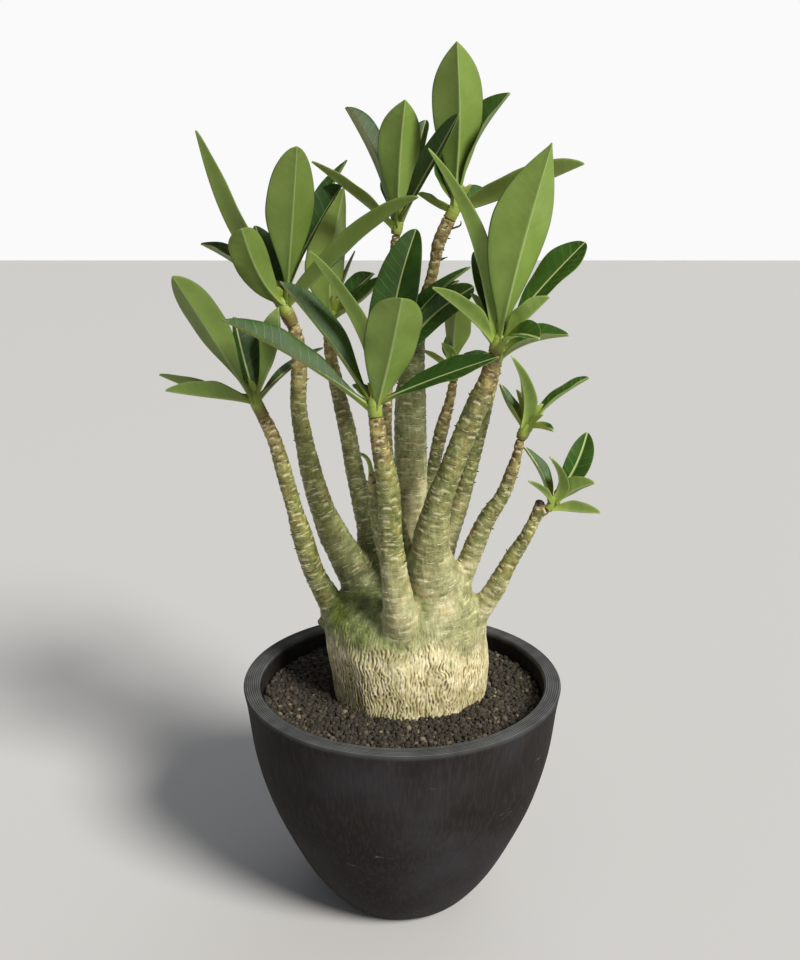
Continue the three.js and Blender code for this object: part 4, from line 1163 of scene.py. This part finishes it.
def leaf_blade(foot, tip, row, draws, tone, young=0.0):
    """A leaf with a sunk midrib above, a keel below, quilted side veins and a wavy edge: its
    shape, and what its material reads at each point."""
    shape, bend, width, roll = row
    *form, fold, lean = LEAF_SHAPES[shape]
    fold *= FOLD_MORE
    t, length, middle, side, up = blade_line(foot, tip, np.array(bend, float), lean, roll)
    half = np.maximum(LEAF_FOOT + t * (LEAF_TIP - LEAF_FOOT), width / 2 * leaf_outline(t, *form))
    columns = np.array([-c for c in LEAF_COLUMNS[::-1]] + [0] + list(LEAF_COLUMNS))
    around = np.concatenate([columns, columns[-2:0:-1]])
    above = np.concatenate([np.ones(len(columns)), np.zeros(len(columns) - 2)])
    share = np.abs(around)
    distance = np.abs(np.outer(half, around))
    starts = draws.uniform(0, 6, 2)
    waves = draws.uniform(1.5, 3.2)
    wave_size = np.minimum(0.075 * half, 1.0) * draws.uniform(0.3, 1)
    which = (around > 0).astype(int)
    wave = np.sin(2 * math.pi * waves * t[:, None] + starts[which]) * share ** 2.5
    rise = half[:, None] * fold * (1.25 * share - 0.25 * share ** 2) + wave_size[:, None] * wave
    run = (t * length)[:, None]
    quilt = QUILT_DEPTH * np.cos(2 * math.pi * (run - 0.7 * distance) / VEIN_PITCH)
    quilt *= np.sin(math.pi * np.minimum(share, 1)) * smoothstep(2, 6, half)[:, None]
    thick = EDGE_THICK + (BLADE_THICK - EDGE_THICK) * (1 - share ** 6)
    foot_thick = FOOT_SWELL * (1 - t[:, None]) ** 6
    keel = (KEEL_DEPTH * (1 - 0.7 * t[:, None]) + foot_thick) * np.exp(-(distance / 1.15) ** 2)
    channel = CHANNEL_DEPTH * (1 - 0.6 * t[:, None]) * np.exp(-(distance / 0.7) ** 2)
    upper = rise - quilt - channel
    lower = rise - quilt - thick - keel - foot_thick * 0.5
    rim = share > 0.999
    height = np.where(rim, rise - EDGE_THICK / 2, np.where(above > 0, upper, lower))
    rings = middle[:, None] + side[:, None] * (half[:, None] * around)[..., None]
    rings += up[:, None] * height[..., None]
    shape = loft(rings)
    # for the material, at each point: where it lies on the flat leaf, and what kind it is
    ends = (((0, 0, 0), (0, length, 0.98)), ((0.5, tone, young),) * 2)
    facts = ((half[:, None] * around, run, share), (np.where(rim, 0.5, above), tone, young))
    marks = []
    for fact, end in zip(facts, ends):
        spread = [np.broadcast_to(value, rings.shape[:2]) for value in fact]
        marks.append(np.vstack([np.stack(spread, axis=2).reshape(-1, 3), end]))
    return shape, *marks


def shoot_tip(name):
    """Rows x, y, z, radius of a head's green shoot, from its stem to its growing point."""
    centre = np.array(HEADS[name][:3], float)
    radius = HEADS[name][3]
    points, tangents, radii, _ = path_points(STEMS[name], STEM_STEP)
    along = centre - points[-1]
    rise = np.linalg.norm(along)
    along /= rise
    start = points[-1] - tangents[-1] * 0.3
    places = ((0, radii[-1] * 1.02), (rise * 0.3, radius * 0.97), (rise * 0.6, radius),
              (rise + 1, radius * 0.92), (rise + 4, radius * 0.6), (rise + 6, radius * 0.2))
    return [(*(start + along * place), size) for place, size in places], centre, along, radius


def make_head(name, material, seed):
    """A head: its green shoot tip, the leaves of its table and a few tiny young leaves."""
    rows, centre, along, radius = shoot_tip(name)
    draws = np.random.RandomState(seed)
    points, tangents, radii, run = path_points(rows, 0.8)
    ripple = 0.9 + 0.04 * np.sin(run * 3.1)
    shoot = tube(points, tangents, radii * ripple, 24)
    count = len(shoot[0])
    shapes = [shoot]
    place_rows = [np.zeros((count, 3))]
    height = (shoot[0] - centre) @ along
    fresh = 1.5 * smoothstep(-9, -1, height + draws.uniform(-1, 1, count)) - 0.9
    kind_rows = [np.stack([0 * fresh, 0 * fresh + 0.5, fresh], axis=1)]
    leaves = []
    # the feet sit inside the shoot at three heights
    for i, (shape, reach, *rest) in enumerate(LEAVES[name]):
        out = np.array(reach, float)
        tip = centre + out
        out = out - along * np.dot(out, along)
        out /= np.linalg.norm(out)
        foot = centre + along * ((i % 3) - 1) * 1.6 + out * radius * 0.25
        leaves.append((foot, tip, (shape, *rest), 0.0))
    for k in range(YOUNG_LEAVES):
        turn = 2.4 * k + seed
        lean = np.array([math.cos(turn), math.sin(turn), 0.0]) * draws.uniform(2, 4.5)
        tip = centre + along * draws.uniform(11, 16) + lean
        leaves.append((centre + along * 2, tip, ("young", lean * 0.2, 4.2, 0), 0.75))
    for foot, tip, row, young in leaves:
        # painted light: leaves on the right of the plant, toward the key lamp, are lighter; each
        # leaf's tone also varies at random
        tone = np.clip(0.5 + centre[0] / 150 + draws.uniform(-0.2, 0.2), 0, 1)
        shape, places, kinds = leaf_blade(foot, tip, row, draws, tone, young)
        shapes.append(shape)
        place_rows.append(places)
        kind_rows.append(kinds)
    head = mesh_object(f"leaves_{name}", joined(shapes))
    mark(head, "leaf_place", np.vstack(place_rows))
    mark(head, "leaf_kind", np.vstack(kind_rows))
    dress(head, material, "leaf", f"leaf_head_{name}")


def make_stub_leaf(material):
    """The one small curved leaf on the short stub behind the front stem."""
    foot, tip = (np.array(point, float) for point in STUB_LEAF)
    row = ("hooked", (1.7, 0, 2.5), 3.6, 0)
    shape, places, kinds = leaf_blade(foot, tip, row, np.random.RandomState(3), 0.5)
    leaf = mesh_object("stub_leaf", shape)
    mark(leaf, "leaf_place", places)
    mark(leaf, "leaf_kind", kinds)
    dress(leaf, material, "leaf")


def make_stalks(material):
    """Dead leaf stalks, short dark pegs that stand out of the upper stems."""
    draws = random.Random(29)
    shapes = [tube(*path_points(rows, 0.5)[:3], 9) for rows in LONG_STALKS]
    for path in STEMS.values():
        points, tangents, radii, run = path_points(path, STEM_STEP)
        sides, others = ring_frames(tangents)
        place = run[-1] * 0.45
        while place < run[-1] - 2:
            k = int(np.searchsorted(run, place))
            k = min(k, len(run) - 1)
            turn = draws.uniform(0, 2 * math.pi)
            out = sides[k] * math.cos(turn) + others[k] * math.sin(turn)
            size = draws.uniform(0.4, 1.2)
            root = points[k] + out * (radii[k] - 0.6)
            end = points[k] + out * (radii[k] + size) + tangents[k] * size * draws.uniform(0, 0.9)
            rows = [(*root, 0.5), (*((root + end) / 2), 0.38), (*end, 0.12)]
            shapes.append(tube(*path_points(rows, 0.5)[:3], 7))
            place += draws.uniform(5, 16) * (0.5 if run[-1] - place < 14 else 1)
    stalks = mesh_object("dry_stalks", joined(shapes))
    dress(stalks, material, "bark")


# ---------------------------------------------------------------- stage, lights, camera
ROOM_LIGHT = (0.08, 0.3)            # light of the room from its left and right side
# lamps: direction that the light comes from, soft angle in degrees, strength, colour
LAMPS = {"key": ((0.8, -0.8, 0.95), 18, 4.2, "#fffaf0"),
         "fill": ((-0.8, -1.0, 0.9), 60, 0.12, "#eef4ff"),
         "back": ((0.5, 1.0, 1.2), 50, 0.35, "#ffffff")}
FLOOR_REACH = 9000
LENS = 37.5                         # for a sensor 36 mm wide
CAMERA_PLACE = (-0.0014, -0.5838, 0.4346)
CAMERA_DIP = 14.98                  # degrees below the horizon


def studio():
    """Pale floor, white room and three soft lamps."""
    corners = [(x * FLOOR_REACH, y * FLOOR_REACH, 0) for x, y in ((-1, -1), (1, -1), (1, 1), (-1, 1))]
    floor = mesh_object("floor", (corners, [(0, 1, 2, 3)]))
    material, _ = start_material("pale_floor")
    floor.data.materials.append(finish_material(material, {"Base Color": "#c6c7c9",
                                                           "Roughness": 0.85}))
    world = bpy.data.worlds.new("soft_room")
    world.use_nodes = True
    tree = world.node_tree
    tree.nodes.clear()
    # the room seen past the part is white, and dimmer as a light, so that the lamps shape the part
    seen = add(tree, "LightPath").outputs["Is Camera Ray"]
    toward = add(tree, "TexCoord").outputs["Generated"]
    side = add(tree, "SeparateXYZ", [toward])
    dim = add(tree, "MapRange", [side, -0.8, 0.8, *ROOM_LIGHT])
    glow = add(tree, "MapRange", [seen, 0, 1, dim, 1])
    room = add(tree, "Background", ["#fafafa", glow])
    add(tree, "OutputWorld", [room])
    bpy.context.scene.world = world
    for name, (place, angle, strength, colour) in LAMPS.items():
        lamp = bpy.data.lights.new(name, "SUN")
        lamp.angle = math.radians(angle)
        lamp.energy = strength
        lamp.color = srgb(colour)[:3]
        holder = bpy.data.objects.new(name, lamp)
        holder.location = place
        holder.rotation_euler = Vector(place).to_track_quat("Z", "Y").to_euler()
        bpy.context.scene.collection.objects.link(holder)
    bpy.context.scene.view_settings.view_transform = "Standard"


def camera():
    """The photograph's viewing angle, from the front and a little above the pot."""
    lens = bpy.data.cameras.new("camera")
    lens.sensor_width = 36
    lens.lens = LENS
    holder = bpy.data.objects.new("camera", lens)
    holder.location = CAMERA_PLACE
    holder.rotation_euler = (math.radians(90 - CAMERA_DIP), 0, 0)
    bpy.context.scene.collection.objects.link(holder)
    bpy.context.scene.camera = holder


camera()
studio()
make_pot(charcoal_polypropylene())
grit = baked_clay_grit()
make_bed(grit)
make_grains(grit, "mix_grains", seed=7, edge_points=3, lift=0.9, large_share=0.04)
make_grains(grit, "mix_grains_under", seed=17, edge_points=2, lift=0, large_share=0)
make_bark(living_bark())
leaf_skin = waxy_leaf()
for number, head_name in enumerate(HEADS):
    make_head(head_name, leaf_skin, 100 + number)
make_stub_leaf(leaf_skin)
make_stalks(dry_stalk())
